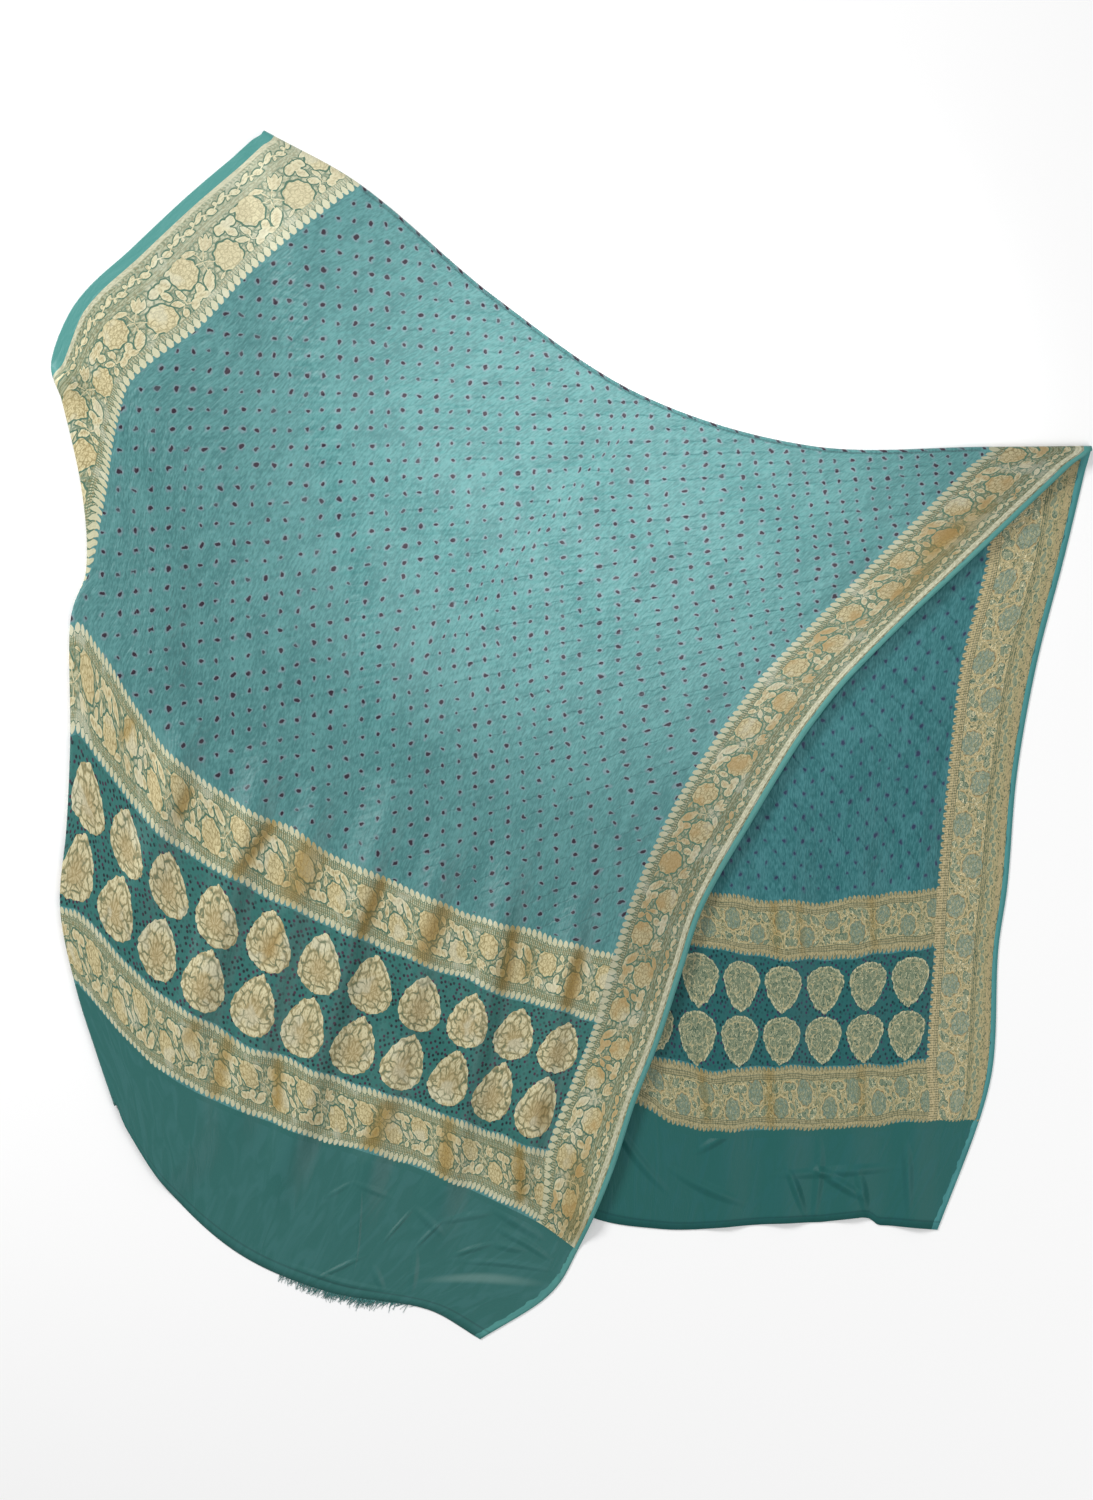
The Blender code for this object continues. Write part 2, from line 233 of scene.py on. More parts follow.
def widest_reach(angle, tail):
    """How far the bent edge reaches out from where it starts to bend, and the width of cloth up to there."""
    flat = np.minimum(angle, 0.5 * math.pi)
    reach, _, _ = edge_columns(flat, np.where(angle > 0.5 * math.pi, 0.0, tail))
    narrowed = BEND_WIDTH / np.maximum(angle, 0.5 * math.pi)
    over = angle > 0.5 * math.pi
    cloth = np.where(over, narrowed * 0.5 * math.pi, BEND_WIDTH + tail * np.cos(flat))
    return np.where(over, narrowed, reach[:, 0]), cloth


def with_edge(surface, angle, tail, inward):
    """The surface, as x, y, thread and height, with the columns of its bent left edge put before it."""
    reach, drop, cloth = edge_columns(angle, tail)
    start = surface[:, :1]
    places = start[..., :2] - inward[:, None] * reach[..., None]
    thread = np.maximum(start[..., 2:3] - cloth[..., None], 0.0)
    height = start[..., 3:] - drop[..., None]
    return np.concatenate([np.concatenate([places, thread, height], axis=-1), surface], axis=1)


print("the bend takes", BEND_WIDTH / MM, "mm of cloth")

# %% [markdown]
# ## Folds, creases and valleys
#
# Cloth on a surface shows three sizes of relief. The broad folds are those of the packed solid. Where the
# gold bands run over a fold the stiff zari crumples into short narrow valleys, and those are what the eye
# sees first, dark brown against the pale gold: each is a shallow dip, and its dark brown is painted shade.
# Both are tables of rounded ridges, from one point to another. A valley is such a ridge turned over, and
# in the far half it is painted shade alone. The finest relief, the crinkle of the threads, comes later
# with the materials.

# %% Tables of the relief
NEAR_FOLDS = (
    # name, x and y of the start, x and y of the end, half width, height, fade in, fade out
    ("drop fold 1", -392, 57, -483, -241, 30, 9, 0.35, 0.3),
    ("drop fold 2", -317, 13, -421, -380, 30, 15, 0.35, 0.3),
    ("drop fold 3", -258, -18, -367, -462, 27, 11, 0.3, 0.3),
    ("drop fold 4", -188, -30, -317, -516, 30, 17, 0.3, 0.25),
    ("drop fold 5", -124, -72, -236, -551, 27, 12, 0.3, 0.3),
    ("drop fold 6", -55, -94, -151, -560, 30, 17, 0.3, 0.3),
    ("drop fold 7", 20, -135, -71, -540, 25, 13, 0.3, 0.3),
    ("shoulder swag", -300, 420, 60, 90, 95, 6, 0.4, 0.4),
    ("middle swag", -110, 380, 120, 60, 90, 7, 0.4, 0.4),
    ("ridge swag", 60, 300, 330, 100, 80, 5, 0.4, 0.4),
    ("field swag", -380, 180, -60, -60, 90, 6, 0.4, 0.4),
    ("border fold", 330, 225, 230, 110, 24, 7, 0.4, 0.4),
)
FAR_FOLDS = (
    # name, x and y of the start, x and y of the end, half width, height, fade in, fade out
    ("far fold 1", 170, -20, 165, -530, 30, 3.0, 0.4, 0.0),
    ("far fold 2", 240, 10, 228, -530, 30, 4.0, 0.4, 0.0),
    ("far fold 3", 310, 60, 300, -530, 32, 3.5, 0.4, 0.0),
    ("far fold 4", 380, 80, 365, -530, 28, 4.0, 0.4, 0.0),
)
FAR_END_LIFT = ((200, 0), (268, 2), (312, 8), (320, 7), (328, 0), (400, 0))  # x, and how far the far end is drawn up
LIFT_ALONG = (1900.0, 1967.0)  # mm along: the lift grows from nothing at the first to all at the second
VALLEY_DROP = 3.0  # mm that a valley of full depth goes down
VALLEY_LIMIT = (0.6, 1.0)  # but at most this share of the fold it is in, and this many mm more
VALLEY_SPREAD = 1.6  # its shade dies out this many half widths off its middle line
VALLEY_PAST = 0.2  # and past its two ends, by this share of its length
VALLEY_FADE = 0.3  # share of its length over which it dies out
VALLEYS = (
    # name, x and y of the start, x and y of the end, half width, depth of its painted shade
    ("high band left", -467, 16, -482, -6, 5, 0.7),
    ("high band 1", -407, -58, -420, -88, 6, 0.8),
    ("high band 2", -316, -90, -358, -150, 6.5, 1.0),
    ("high band 3", -274, -110, -301, -176, 15, 0.75),
    ("high band 4", -260, -123, -280, -168, 4, 0.5),
    ("high band 5", -200, -152, -226, -219, 6, 1.0),
    ("high band 6", -133, -181, -161, -242, 11, 0.8),
    ("high band 7", -60, -203, -73, -270, 6.5, 1.0),
    ("high band 8", -44, -230, -47, -258, 5, 0.6),
    ("high band 9", 11, -230, -6, -291, 7, 1.0),
    ("drop 3", -302, -195, -327, -239, 6, 0.6),
    ("drop 11", -28, -392, -31, -419, 8, 0.6),
    ("low band 1", -399, -306, -411, -327, 7, 0.6),
    ("low band 2", -365, -320, -382, -387, 8, 0.65),
    ("low band 3", -314, -349, -314, -397, 6, 0.9),
    ("low band 4", -194, -395, -217, -444, 11, 0.9),
    ("low band 5", -129, -404, -136, -472, 8, 0.75),
    ("low band 6", -55, -432, -54, -498, 5.5, 0.95),
    ("right border foot", 5, -450, 3, -536, 14, 0.45),
    ("right border fold", 417, 224, 378, 190, 9, 0.8),
    ("right border lip", 448, 250, 352, 150, 10, 0.5),
)
FAR_VALLEYS = (
    # name, x and y of the start, x and y of the end, half width, depth of its painted shade
    ("far high band 1", 216, -172, 220, -228, 5, 0.45),
    ("far high band 2", 244, -176, 247, -230, 4, 0.35),
    ("far high band 3", 320, -160, 325, -225, 5, 0.4),
    ("far low band 1", 138, -352, 146, -410, 5, 0.45),
    ("far low band 2", 212, -355, 214, -415, 6, 0.45),
    ("far low band 3", 310, -352, 312, -410, 5, 0.35),
)


def along_ridge(places, x0, y0, x1, y1):
    """For each place: its share of the way along the ridge, and its distance off it in mm."""
    axis = np.array((x1 - x0, y1 - y0), float)
    length = math.hypot(*axis)
    axis = axis / length
    away = places / MM - (x0, y0)
    return (away @ axis) / length, np.abs(away @ np.array((-axis[1], axis[0])))


def relief(folds, places):
    """Height of the broad folds above the lying sheet, in metres."""
    height = np.zeros(places.shape[:-1])
    for _, x0, y0, x1, y1, half_width, top, fade_in, fade_out in folds:
        run, off = along_ridge(places, x0, y0, x1, y1)
        section = np.cos(0.5 * math.pi * np.clip(off / half_width, 0.0, 1.0)) ** 2
        rise = ease(run / fade_in)
        fall = ease((1.0 - run) / fade_out) if fade_out else 1.0
        height = np.maximum(height, top * MM * section * rise * fall)
    return height


def valley_depth(valleys, places):
    """0 to 1: how deep each place lies in one of the narrow valleys, and so how much shade is painted there."""
    depth = np.zeros(places.shape[:-1])
    for _, x0, y0, x1, y1, half_width, shade in valleys:
        run, off = along_ridge(places, x0, y0, x1, y1)
        section = np.cos(0.5 * math.pi * np.clip(off / (VALLEY_SPREAD * half_width), 0.0, 1.0)) ** 2
        rise = ease((run + VALLEY_PAST) / VALLEY_FADE)
        fall = ease((1.0 + VALLEY_PAST - run) / VALLEY_FADE)
        depth = np.maximum(depth, shade * section * rise * fall)
    return depth


print(len(NEAR_FOLDS) + len(FAR_FOLDS), "broad folds and", len(VALLEYS) + len(FAR_VALLEYS), "valleys")

# %% [markdown]
# ## The two layers
#
# Where the near half lies on the far half it is one layer higher, and it comes down over a short ramp.
# So the first question for every point of the near half is whether the far half is under it.

# %% What lies beneath


def distance_to(line, places):
    """Shortest distance in plan from each place to the line."""
    nearest = np.full(places.shape[:-1], np.inf)
    for start, end in zip(line[:-1], line[1:]):
        side = end - start
        share = np.clip(((places - start) @ side) / (side @ side), 0.0, 1.0)
        gap = places - start - share[..., None] * side
        nearest = np.minimum(nearest, np.hypot(gap[..., 0], gap[..., 1]))
    return nearest


def inside(outline, places):
    """Whether each place lies within the closed outline."""
    within = np.zeros(places.shape[:-1], bool)
    for start, end in zip(outline, np.roll(outline, -1, axis=0)):
        crosses = (start[1] > places[..., 1]) != (end[1] > places[..., 1])
        rise = end[1] - start[1] if end[1] != start[1] else 1e-12
        where = start[0] + (places[..., 1] - start[1]) * (end[0] - start[0]) / rise
        within ^= crosses & (places[..., 0] < where)
    return within


def cover_of_far_half(places):
    """1 over the far half, falling to 0 past its hidden left and lower edges."""
    rows = np.linspace(FAR_HALF[0][1], FAR_HALF[-1][1], 24)
    far = plan(FAR_HALF, rows, np.linspace(0.0, 1.0, 24))[..., :2]
    hidden = np.concatenate([far[:, 0], far[-1, 1:]])
    right = far[::-1, -1] + (2 * RAMP, 0.0)
    ridge = far[0, ::-1] + (0.0, 2 * RAMP)
    outline = np.concatenate([hidden, right, ridge])
    gap = distance_to(hidden, places)
    return np.where(inside(outline, places), 1.0, ease(1.0 - gap / RAMP))


def set_in(surface, reach, cloth, inward):
    """The surface moved in beside its left edge, to leave room for the bent edge, with each gap to it."""
    places = surface[..., :2]
    gaps = np.hypot(*np.moveaxis(places[:, :, None] - places[None, None, :, 0], -1, 0))
    nearest = gaps.argmin(axis=2)
    gap = gaps.min(axis=2)
    near = ease(1.0 - gap / QUIET)
    moved = places + (inward * reach[:, None])[nearest] * near[..., None]
    thread = surface[..., 2] + cloth[nearest] * near
    return moved, thread, gap, nearest


def near_surface(rows, shares):
    """Middle surface of the near half as x, y, thread and height, its bent left edge included."""
    angle, tail, inward = edge_bend(NEAR_HALF, rows)
    reach, cloth = widest_reach(angle, tail)
    places, thread, gap, nearest = set_in(plan(NEAR_HALF, rows, shares), reach, cloth, inward)
    edge_drop = edge_columns(angle, tail)[1].max(axis=1)
    under = np.where(angle > 0.5 * math.pi, tail, 0.0)
    over_edge = edge_drop[nearest] * ease(1.0 - (gap - under[nearest]) / RAMP)
    base = np.maximum(over_edge, LAYER_RISE * cover_of_far_half(places))
    to_ridge = (NEAR_HALF[-1][1] - np.asarray(rows)[:, None]) * MM
    calm = ease(to_ridge / QUIET) * np.where(angle[nearest] > 0.0, ease(gap / QUIET), 1.0)
    folds = relief(NEAR_FOLDS, places)
    deepest = VALLEY_LIMIT[0] * folds + VALLEY_LIMIT[1] * MM
    dips = np.minimum(valley_depth(VALLEYS, places) * VALLEY_DROP * MM, deepest)
    height = np.maximum(LYING_HEIGHT + base + (folds - dips) * calm, LEAST_HEIGHT)
    surface = np.concatenate([places, thread[..., None], height[..., None]], axis=-1)
    return with_edge(surface, angle, tail, inward)


def far_surface(rows, shares):
    """Middle surface of the far half, in the same four numbers."""
    angle, tail, inward = edge_bend(FAR_HALF, rows)
    reach, cloth = widest_reach(angle, tail)
    places, thread, _, _ = set_in(plan(FAR_HALF, rows, shares), reach, cloth, inward)
    rise = np.interp(places[..., 0] / MM, *zip(*FAR_END_LIFT)) * MM
    start, end = LIFT_ALONG
    places[..., 1] += rise * ease((np.asarray(rows)[:, None] - start) / (end - start))
    height = LYING_HEIGHT + relief(FAR_FOLDS, places)
    surface = np.concatenate([places, thread[..., None], height[..., None]], axis=-1)
    return with_edge(surface, angle, tail, inward)


print("the near half rises", LAYER_RISE / MM, "mm over the far half")

# %% [markdown]
# ## One grid from end to end
#
# The two halves meet at the ridge, the soft fold at the top. A half circle of a few rows joins them, so
# the cloth is one piece there, with the face on the outside of the fold. Then every point gets its
# distance along the cloth: in the bands that is the line's own distance, and in the field it is measured
# up each column, because a border that curves round a shoulder is longer on the outside.

# %% Lay the whole sheet


def ridge_bend(ridge):
    """Rows of the soft fold at the top, and the shift in plan that keeps its outside on the outline."""
    course = unit(np.gradient(ridge[:, :2], axis=0))
    outward = np.stack([-course[:, 1], course[:, 0]], axis=1)
    radius = 0.5 * LAYER_RISE
    rows = []
    for step in range(1, BEND_STEPS):
        angle = math.pi * (0.5 - step / BEND_STEPS)
        out = outward * radius * (math.cos(angle) - 1.0)
        height = LYING_HEIGHT + radius * (1.0 + math.sin(angle))
        rows.append(np.column_stack([ridge[:, :2] + out, ridge[:, 2], np.full(len(ridge), height)]))
    return np.stack(rows), -outward * radius


def distance_up(rows, surface, start):
    """Distance along the cloth of every point: the row's own up to start, then measured up each column."""
    steps = np.diff(surface, axis=0)
    gone = steps[..., 0] ** 2 + steps[..., 1] ** 2
    climbed = np.sqrt(np.maximum(gone - steps[..., 2] ** 2, 0.25 * gone))
    distance = np.repeat(np.asarray(rows)[:, None] * MM, surface.shape[1], axis=1)
    first = int(np.searchsorted(rows, start))
    distance[first + 1:] = distance[first] + np.cumsum(climbed[first:], axis=0)
    edge = BEND_STEPS + TAIL_STEPS
    distance[:, :edge] = distance[:, edge:edge + 1]
    return distance


TIE_COLUMNS = 17.3  # mm from one column of ties to the next
TIE_ROWS = (15.2, -0.0142)  # mm from row to row in the middle, and how it changes with x, mm to a mm
TIE_LEVEL = 326.0  # y of the row that lies straight
LEAN = (0.14, -20.0, 200.0)  # how far the columns lean at the right, and the two x between which that grows
PINCH = (84, 358, -183, 48)  # a drawn-up line in the field, where the ties crowd: x and y of its ends
PINCH_PULL = (0.6, 9.0)  # columns by which it draws them in on each side, and over how many mm
PINCH_FADE = (0.15, 0.3)  # shares of the line over which the pull grows at its start and dies out at its end
FAR_TIES = 18.6  # mm between ties in the far half, where the rows run on the slant of the weave
TURN_ROWS = (706, 750, 12)  # where the border turns under the grid has more rows: from, to, and how many


def places_among_ties(sheet, along, near_count):
    """For every point, how many columns and rows of ties it is from the middle, as (rows, columns, 3)."""
    x, y = sheet[..., 0] / MM, sheet[..., 1] / MM
    run, _ = along_ridge(sheet[..., :2], *PINCH)
    axis = unit(np.array([PINCH[2] - PINCH[0], PINCH[3] - PINCH[1]], float))
    beside = (x - PINCH[0]) * axis[1] - (y - PINCH[1]) * axis[0]
    pull, reach = PINCH_PULL
    pinch = pull * np.tanh(beside / reach) * ease(run / PINCH_FADE[0]) * ease((1.0 - run) / PINCH_FADE[1])
    lean = LEAN[0] * ease((x - LEAN[1]) / (LEAN[2] - LEAN[1]))
    column = (x + lean * (y - TIE_LEVEL)) / TIE_COLUMNS - pinch
    row = (y - TIE_LEVEL) / (TIE_ROWS[0] + TIE_ROWS[1] * x)
    across, up = sheet[near_count:, :, 2] / MM, along[near_count:] / MM
    column[near_count:] = (across + up) * math.sqrt(0.5) / FAR_TIES
    row[near_count:] = (up - across) * math.sqrt(0.5) / FAR_TIES
    return np.stack([column, row, np.zeros_like(row)], axis=-1)


shares = np.linspace(0.0, 1.0, COLUMNS)
near_rows = np.union1d(np.linspace(0, RIDGE, ROWS_NEAR), np.linspace(*TURN_ROWS))
far_rows = np.linspace(RIDGE, FAR_HALF[-1][1], ROWS_FAR)
near = near_surface(near_rows, shares)
far = far_surface(far_rows, shares)
bend, shift = ridge_bend(near[-1])
near_along = distance_up(near_rows, near, FIELD[0])
near[..., :2] += shift * ease(1.0 - (RIDGE - near_rows) * MM / QUIET)[:, None, None]
far[..., :2] += shift * ease(1.0 - (far_rows - RIDGE) * MM / QUIET)[:, None, None]
round_ridge = 0.5 * math.pi * LAYER_RISE
bend_along = near_along[-1] + round_ridge * np.arange(1, BEND_STEPS)[:, None] / BEND_STEPS
far_start = near_along[-1] + round_ridge
far_share = np.clip((far_rows - RIDGE) / (FIELD[1] - RIDGE), 0.0, 1.0)[:, None]
past_field = np.maximum(far_rows - FIELD[1], 0.0)[:, None] * MM
far_along = far_start + (FIELD[1] * MM - far_start) * far_share + past_field
sheet = np.concatenate([near, bend, far])
along = np.concatenate([near_along, bend_along, far_along])
# how much shade is painted in the narrow valleys at each point, with its own table for the far half
valleys = valley_depth(VALLEYS, sheet[..., :2])
valleys[len(near):] = valley_depth(FAR_VALLEYS, sheet[len(near):, :, :2])
valleys[:, :BEND_STEPS + TAIL_STEPS] = 0.0
ties = places_among_ties(sheet, along, len(near))
sheet[..., :2] -= CENTRE
print("sheet of", sheet.shape[0], "rows and", sheet.shape[1], "columns")
print("highest point", round(sheet[..., 3].max() / MM, 1), "mm")

# %% [markdown]
# ## Make it a mesh
#
# The grid tool gives rows and columns of faces, and each point is then moved to its place. The weave
# coordinates go into a UV map, in metres of cloth: across from the left selvedge, and along from the
# near end. Solidify gives the sheet its thickness, and its second material is the reverse of the cloth.

# %% The cloth


def lay_grid(name, points):
    """A grid mesh whose points go to the given (rows, columns, 3) places."""
    rows, columns = points.shape[:2]
    bpy.ops.object.select_all(action="DESELECT")
    bpy.ops.mesh.primitive_grid_add(x_subdivisions=columns - 1, y_subdivisions=rows - 1, size=1.0)
    piece = bpy.context.object
    piece.name = name
    piece.data.name = name
    piece.data.vertices.foreach_set("co", points.reshape(-1, 3).astype(np.float32).ravel())
    piece.data.update()
    piece.data.shade_smooth()
    return piece


def weave_map(piece, across, along):
    """Gives the piece one UV map that holds each point's place in the weave, in metres."""
    for old in list(piece.data.uv_layers):
        piece.data.uv_layers.remove(old)
    layer = piece.data.uv_layers.new(name="weave")
    place = np.stack([across.ravel(), along.ravel()], axis=1).astype(np.float32)
    corners = np.empty(len(piece.data.loops), np.int32)
    piece.data.loops.foreach_get("vertex_index", corners)
    layer.uv.foreach_set("vector", place[corners].ravel())


CLEAR_OF_GOLD = (4, 3)  # mm from the gold at which a face is only field, and at which it is only plain end


def dyed_parts(piece):
    """0 for each face with gold in it, 1 for one wholly in the dyed field and 2 for one in a plain end."""
    place = np.empty(2 * len(piece.data.loops), np.float32)
    piece.data.uv_layers["weave"].uv.foreach_get("vector", place)
    corners = place.reshape(-1, 4, 2) / MM
    low, high = corners.min(axis=1), corners.max(axis=1)
    clear, clear_end = CLEAR_OF_GOLD
    in_field = (low[:, 0] > LEFT_BORDER + clear) & (high[:, 0] < WIDTH - RIGHT_BORDER - clear)
    in_field &= (low[:, 1] > FIELD[0] + clear) & (high[:, 1] < FIELD[1] - clear)
    in_plain_end = (high[:, 1] < ENDS[0] - clear_end) | (low[:, 1] > ENDS[1] + clear_end)
    return in_field + 2 * in_plain_end


cloth = lay_grid("dupatta", sheet[..., (0, 1, 3)])
weave_map(cloth, sheet[..., 2], along)
cloth.data.polygons.foreach_set("material_index", 2 * dyed_parts(cloth).astype(np.int32))
# the painted valley shade is stored on the points, for the materials to darken the gold by
shade = cloth.data.attributes.new("painted_valley_shade", "FLOAT", "POINT")
shade.data.foreach_set("value", valleys.astype(np.float32).ravel())
counted = cloth.data.attributes.new("ties", "FLOAT_VECTOR", "POINT")
counted.data.foreach_set("vector", ties.astype(np.float32).ravel())
body = cloth.modifiers.new("thickness", "SOLIDIFY")
body.thickness = THICKNESS
body.offset = 0.0
body.material_offset = 1
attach(cloth, "root")
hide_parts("cloth")
print("the cloth has", len(cloth.data.polygons), "faces on each side")

# %% [markdown]
# ## Sums on the weave
#
# A woven pattern is drawn by rules: which thread, how far along, where in the repeat. `Amount` stands for
# one number that changes over the cloth. Adding or comparing two of them adds a Math node to the
# material, so the pattern below reads like a weaver's notes and not like a web of nodes.

# %% A small language for patterns


class Amount:
    """A number at every point of the cloth, as one socket of a node tree."""

    def __init__(self, tree, socket):
        self.tree = tree
        self.socket = socket

    def reckon(self, operation, *others):
        node = self.tree.nodes.new("ShaderNodeMath")
        node.operation = operation
        for place, value in zip(node.inputs, (self, *others)):
            plug(self.tree, value, place)
        return Amount(self.tree, node.outputs[0])

    def __add__(self, other):
        return self.reckon("ADD", other)

    def __sub__(self, other):
        return self.reckon("SUBTRACT", other)

    def __mul__(self, other):
        return self.reckon("MULTIPLY", other)

    def __truediv__(self, other):
        return self.reckon("DIVIDE", other)

    def times_plus(self, factor, more):
        return self.reckon("MULTIPLY_ADD", factor, more)

    def pick(self, pair):
        """The first of the pair where this is 0, and the second where it is 1."""
        return self.times_plus(pair[1] - pair[0], pair[0])

    def less_from(self, whole):
        """whole minus this."""
        return self.reckon("MULTIPLY_ADD", -1.0, whole)

    def size(self):
        return self.reckon("ABSOLUTE")

    def within(self, centre, half_width):
        """1 where this lies that near the centre, and 0 elsewhere."""
        return self.reckon("COMPARE", centre, half_width)

    def from_to(self, start, end):
        """1 from the start to the end, and 0 elsewhere."""
        return self.within(0.5 * (start + end), 0.5 * (end - start))

    def over(self, limit):
        return self.reckon("GREATER_THAN", limit)

    def under(self, limit):
        return self.reckon("LESS_THAN", limit)

    def least(self, other):
        return self.reckon("MINIMUM", other)

    def most(self, other):
        return self.reckon("MAXIMUM", other)

    def wave(self, period, start=0.0):
        """A sine of the given period, from -1 to 1."""
        return self.times_plus(2.0 * math.pi / period, start).reckon("SINE")

    def repeat(self, half):
        """The same number counted from the middle of each repeat, from -half to half."""
        return self.reckon("WRAP", half, -half)

    def fade(self, start, end, low=0.0, high=1.0):
        """low up to start, high from end on, and a smooth change between."""
        node = self.tree.nodes.new("ShaderNodeMapRange")
        node.interpolation_type = "SMOOTHSTEP"
        plug(self.tree, self, node.inputs["Value"])
        for name, value in (("From Min", start), ("From Max", end), ("To Min", low), ("To Max", high)):
            node.inputs[name].default_value = value
        return Amount(self.tree, node.outputs[0])

    def between(self, other, share):
        """This where share is 0, and the other where it is 1."""
        node = self.tree.nodes.new("ShaderNodeMix")
        for place, value in zip((0, 2, 3), (share, self, other)):
            plug(self.tree, value, node.inputs[place])
        return Amount(self.tree, node.outputs[0])


def plug(tree, value, place):
    """Links an amount or a socket to an input, or sets the input to a plain value."""
    if isinstance(value, Amount):
        tree.links.new(value.socket, place)
    elif isinstance(value, bpy.types.NodeSocket):
        tree.links.new(value, place)
    else:
        place.default_value = value


def vector_of(tree, x, y, z=0.0):
    node = tree.nodes.new("ShaderNodeCombineXYZ")
    for place, value in zip(node.inputs, (x, y, z)):
        plug(tree, value, place)
    return node.outputs[0]


def vector_math(tree, operation, a, b=None):
    node = tree.nodes.new("ShaderNodeVectorMath")
    node.operation = operation
    plug(tree, a, node.inputs[0])
    if b is not None:
        plug(tree, b, node.inputs[1])
    return node


def length_of(tree, vector):
    return Amount(tree, vector_math(tree, "LENGTH", vector).outputs["Value"])


def parts_of(tree, vector):
    """The three numbers of a vector."""
    node = tree.nodes.new("ShaderNodeSeparateXYZ")
    tree.links.new(vector, node.inputs[0])
    return [Amount(tree, number) for number in node.outputs]


def stored(tree, name):
    """What is stored under a name at the points of the cloth, as the outputs that read it."""
    node = tree.nodes.new("ShaderNodeAttribute")
    node.attribute_name = name
    return node.outputs


def weave_place(tree):
    """A point's place in the weave, in mm."""
    place = tree.nodes.new("ShaderNodeUVMap")
    place.uv_map = "weave"
    scaled = vector_math(tree, "SCALE", place.outputs[0])
    scaled.inputs["Scale"].default_value = 1.0 / MM
    return scaled.outputs[0]


def noise_of(tree, vector, scale, detail, distortion=0.0):
    """The outputs of a flat noise texture read at a vector."""
    node = tree.nodes.new("ShaderNodeTexNoise")
    node.noise_dimensions = "2D"
    node.inputs["Scale"].default_value = scale
    node.inputs["Detail"].default_value = detail
    node.inputs["Distortion"].default_value = distortion
    tree.links.new(vector, node.inputs["Vector"])
    return node.outputs


def place_in(tree, vector, centre, turn, radii):
    """The vector seen from a motif: from its centre, turned with it and in its own radii."""
    node = tree.nodes.new("ShaderNodeMapping")
    node.vector_type = "TEXTURE"
    plug(tree, vector, node.inputs["Vector"])
    node.inputs["Location"].default_value = (*centre, 0.0)
    node.inputs["Rotation"].default_value = (0.0, 0.0, math.radians(turn))
    node.inputs["Scale"].default_value = (*radii, 1.0)
    return node.outputs[0]


def oval(tree, vector, centre, turn, radii):
    """Distance from a motif's centre in its own radii: 1 on the edge of the oval."""
    return length_of(tree, place_in(tree, vector, centre, turn, radii))


def leaf(tree, vector, centre, turn, radii):
    """As oval, for a leaf with a point at both ends: where two round arcs meet."""
    long, wide = radii
    arc = (long * long + wide * wide) / (2.0 * wide)
    inner = place_in(tree, vector, centre, turn, (arc, arc))
    folded = vector_math(tree, "ABSOLUTE", inner).outputs[0]
    moved = vector_math(tree, "ADD", folded, (0.0, (arc - wide) / arc, 0.0)).outputs[0]
    return length_of(tree, moved).times_plus(arc / wide, 1.0 - arc / wide)


def mix_colour(tree, under, over, share):
    """One colour laid over another by a share from 0 to 1."""
    node = tree.nodes.new("ShaderNodeMix")
    node.data_type = "RGBA"
    plug(tree, share, node.inputs[0])
    for place, colour in ((node.inputs[6], under), (node.inputs[7], over)):
        plug(tree, colour if isinstance(colour, bpy.types.NodeSocket) else (*colour, 1.0), place)
    return node.outputs[2]


def tinted(tree, under, tint, share):
    """A colour with a thin glaze of another over it, by a share from 0 to 1."""
    return mix_colour(tree, under, vector_math(tree, "MULTIPLY", under, tint).outputs[0], share)


def new_group(name, outputs):
    """An empty node group with the named number outputs, and its output node."""
    tree = bpy.data.node_groups.new(name, "ShaderNodeTree")
    for output in outputs:
        tree.interface.new_socket(output, in_out="OUTPUT", socket_type="NodeSocketFloat")
    return tree, tree.nodes.new("NodeGroupOutput")


print("the pattern language has", len([name for name in vars(Amount) if name[0] != "_"]), "words")

# %% [markdown]
# ## Where each weave is
#
# Everything is counted in millimetres of cloth. The borders run along both selvedges from one low band
# to the other. A band crosses the cloth at each side of a panel of flower drops. All of them show the
# same vine, larger in the left border and smaller in the bands, so each place is turned into two
# numbers: how far along the vine it is, and how far off its middle line.

# %% The lie of borders, bands and panels
TURN = 1130.0  # past this distance the far bands and panel are meant
PANEL_MIDDLE = (298.2, 1729.0)  # of the near panel and of the far one
BAND_OFF = (110.7, 92.0)  # from there to the middle of each of its two bands
BAND_HALF = (38.3, 33.0)  # half a band's width, teeth included
VINE_HALF = 24.0  # half the vine's width, in its own mm
VINE_MIDDLE = 40.5  # from the inner side of a border to the middle line of its vine
BAND_REACH = 42.5  # half a band in the vine's own mm
CROSSING = (4.0, 30.0)  # a band is gold right across a border's inner edge: short of its own edges, and from where
RIGHT_SCALE = (1.04, 1.19)  # the right border's vine, across and along
BAND_PITCH = 1.29
START = (38.0, 0.0)  # where the vine of the left border begins in its repeat, and that of the right one
BAND_WAVER = 9.0  # mm: a band draws the cloth in unevenly, so it never runs quite straight
WAVER_SCALE = 0.021  # and about so many of its waves to a mm


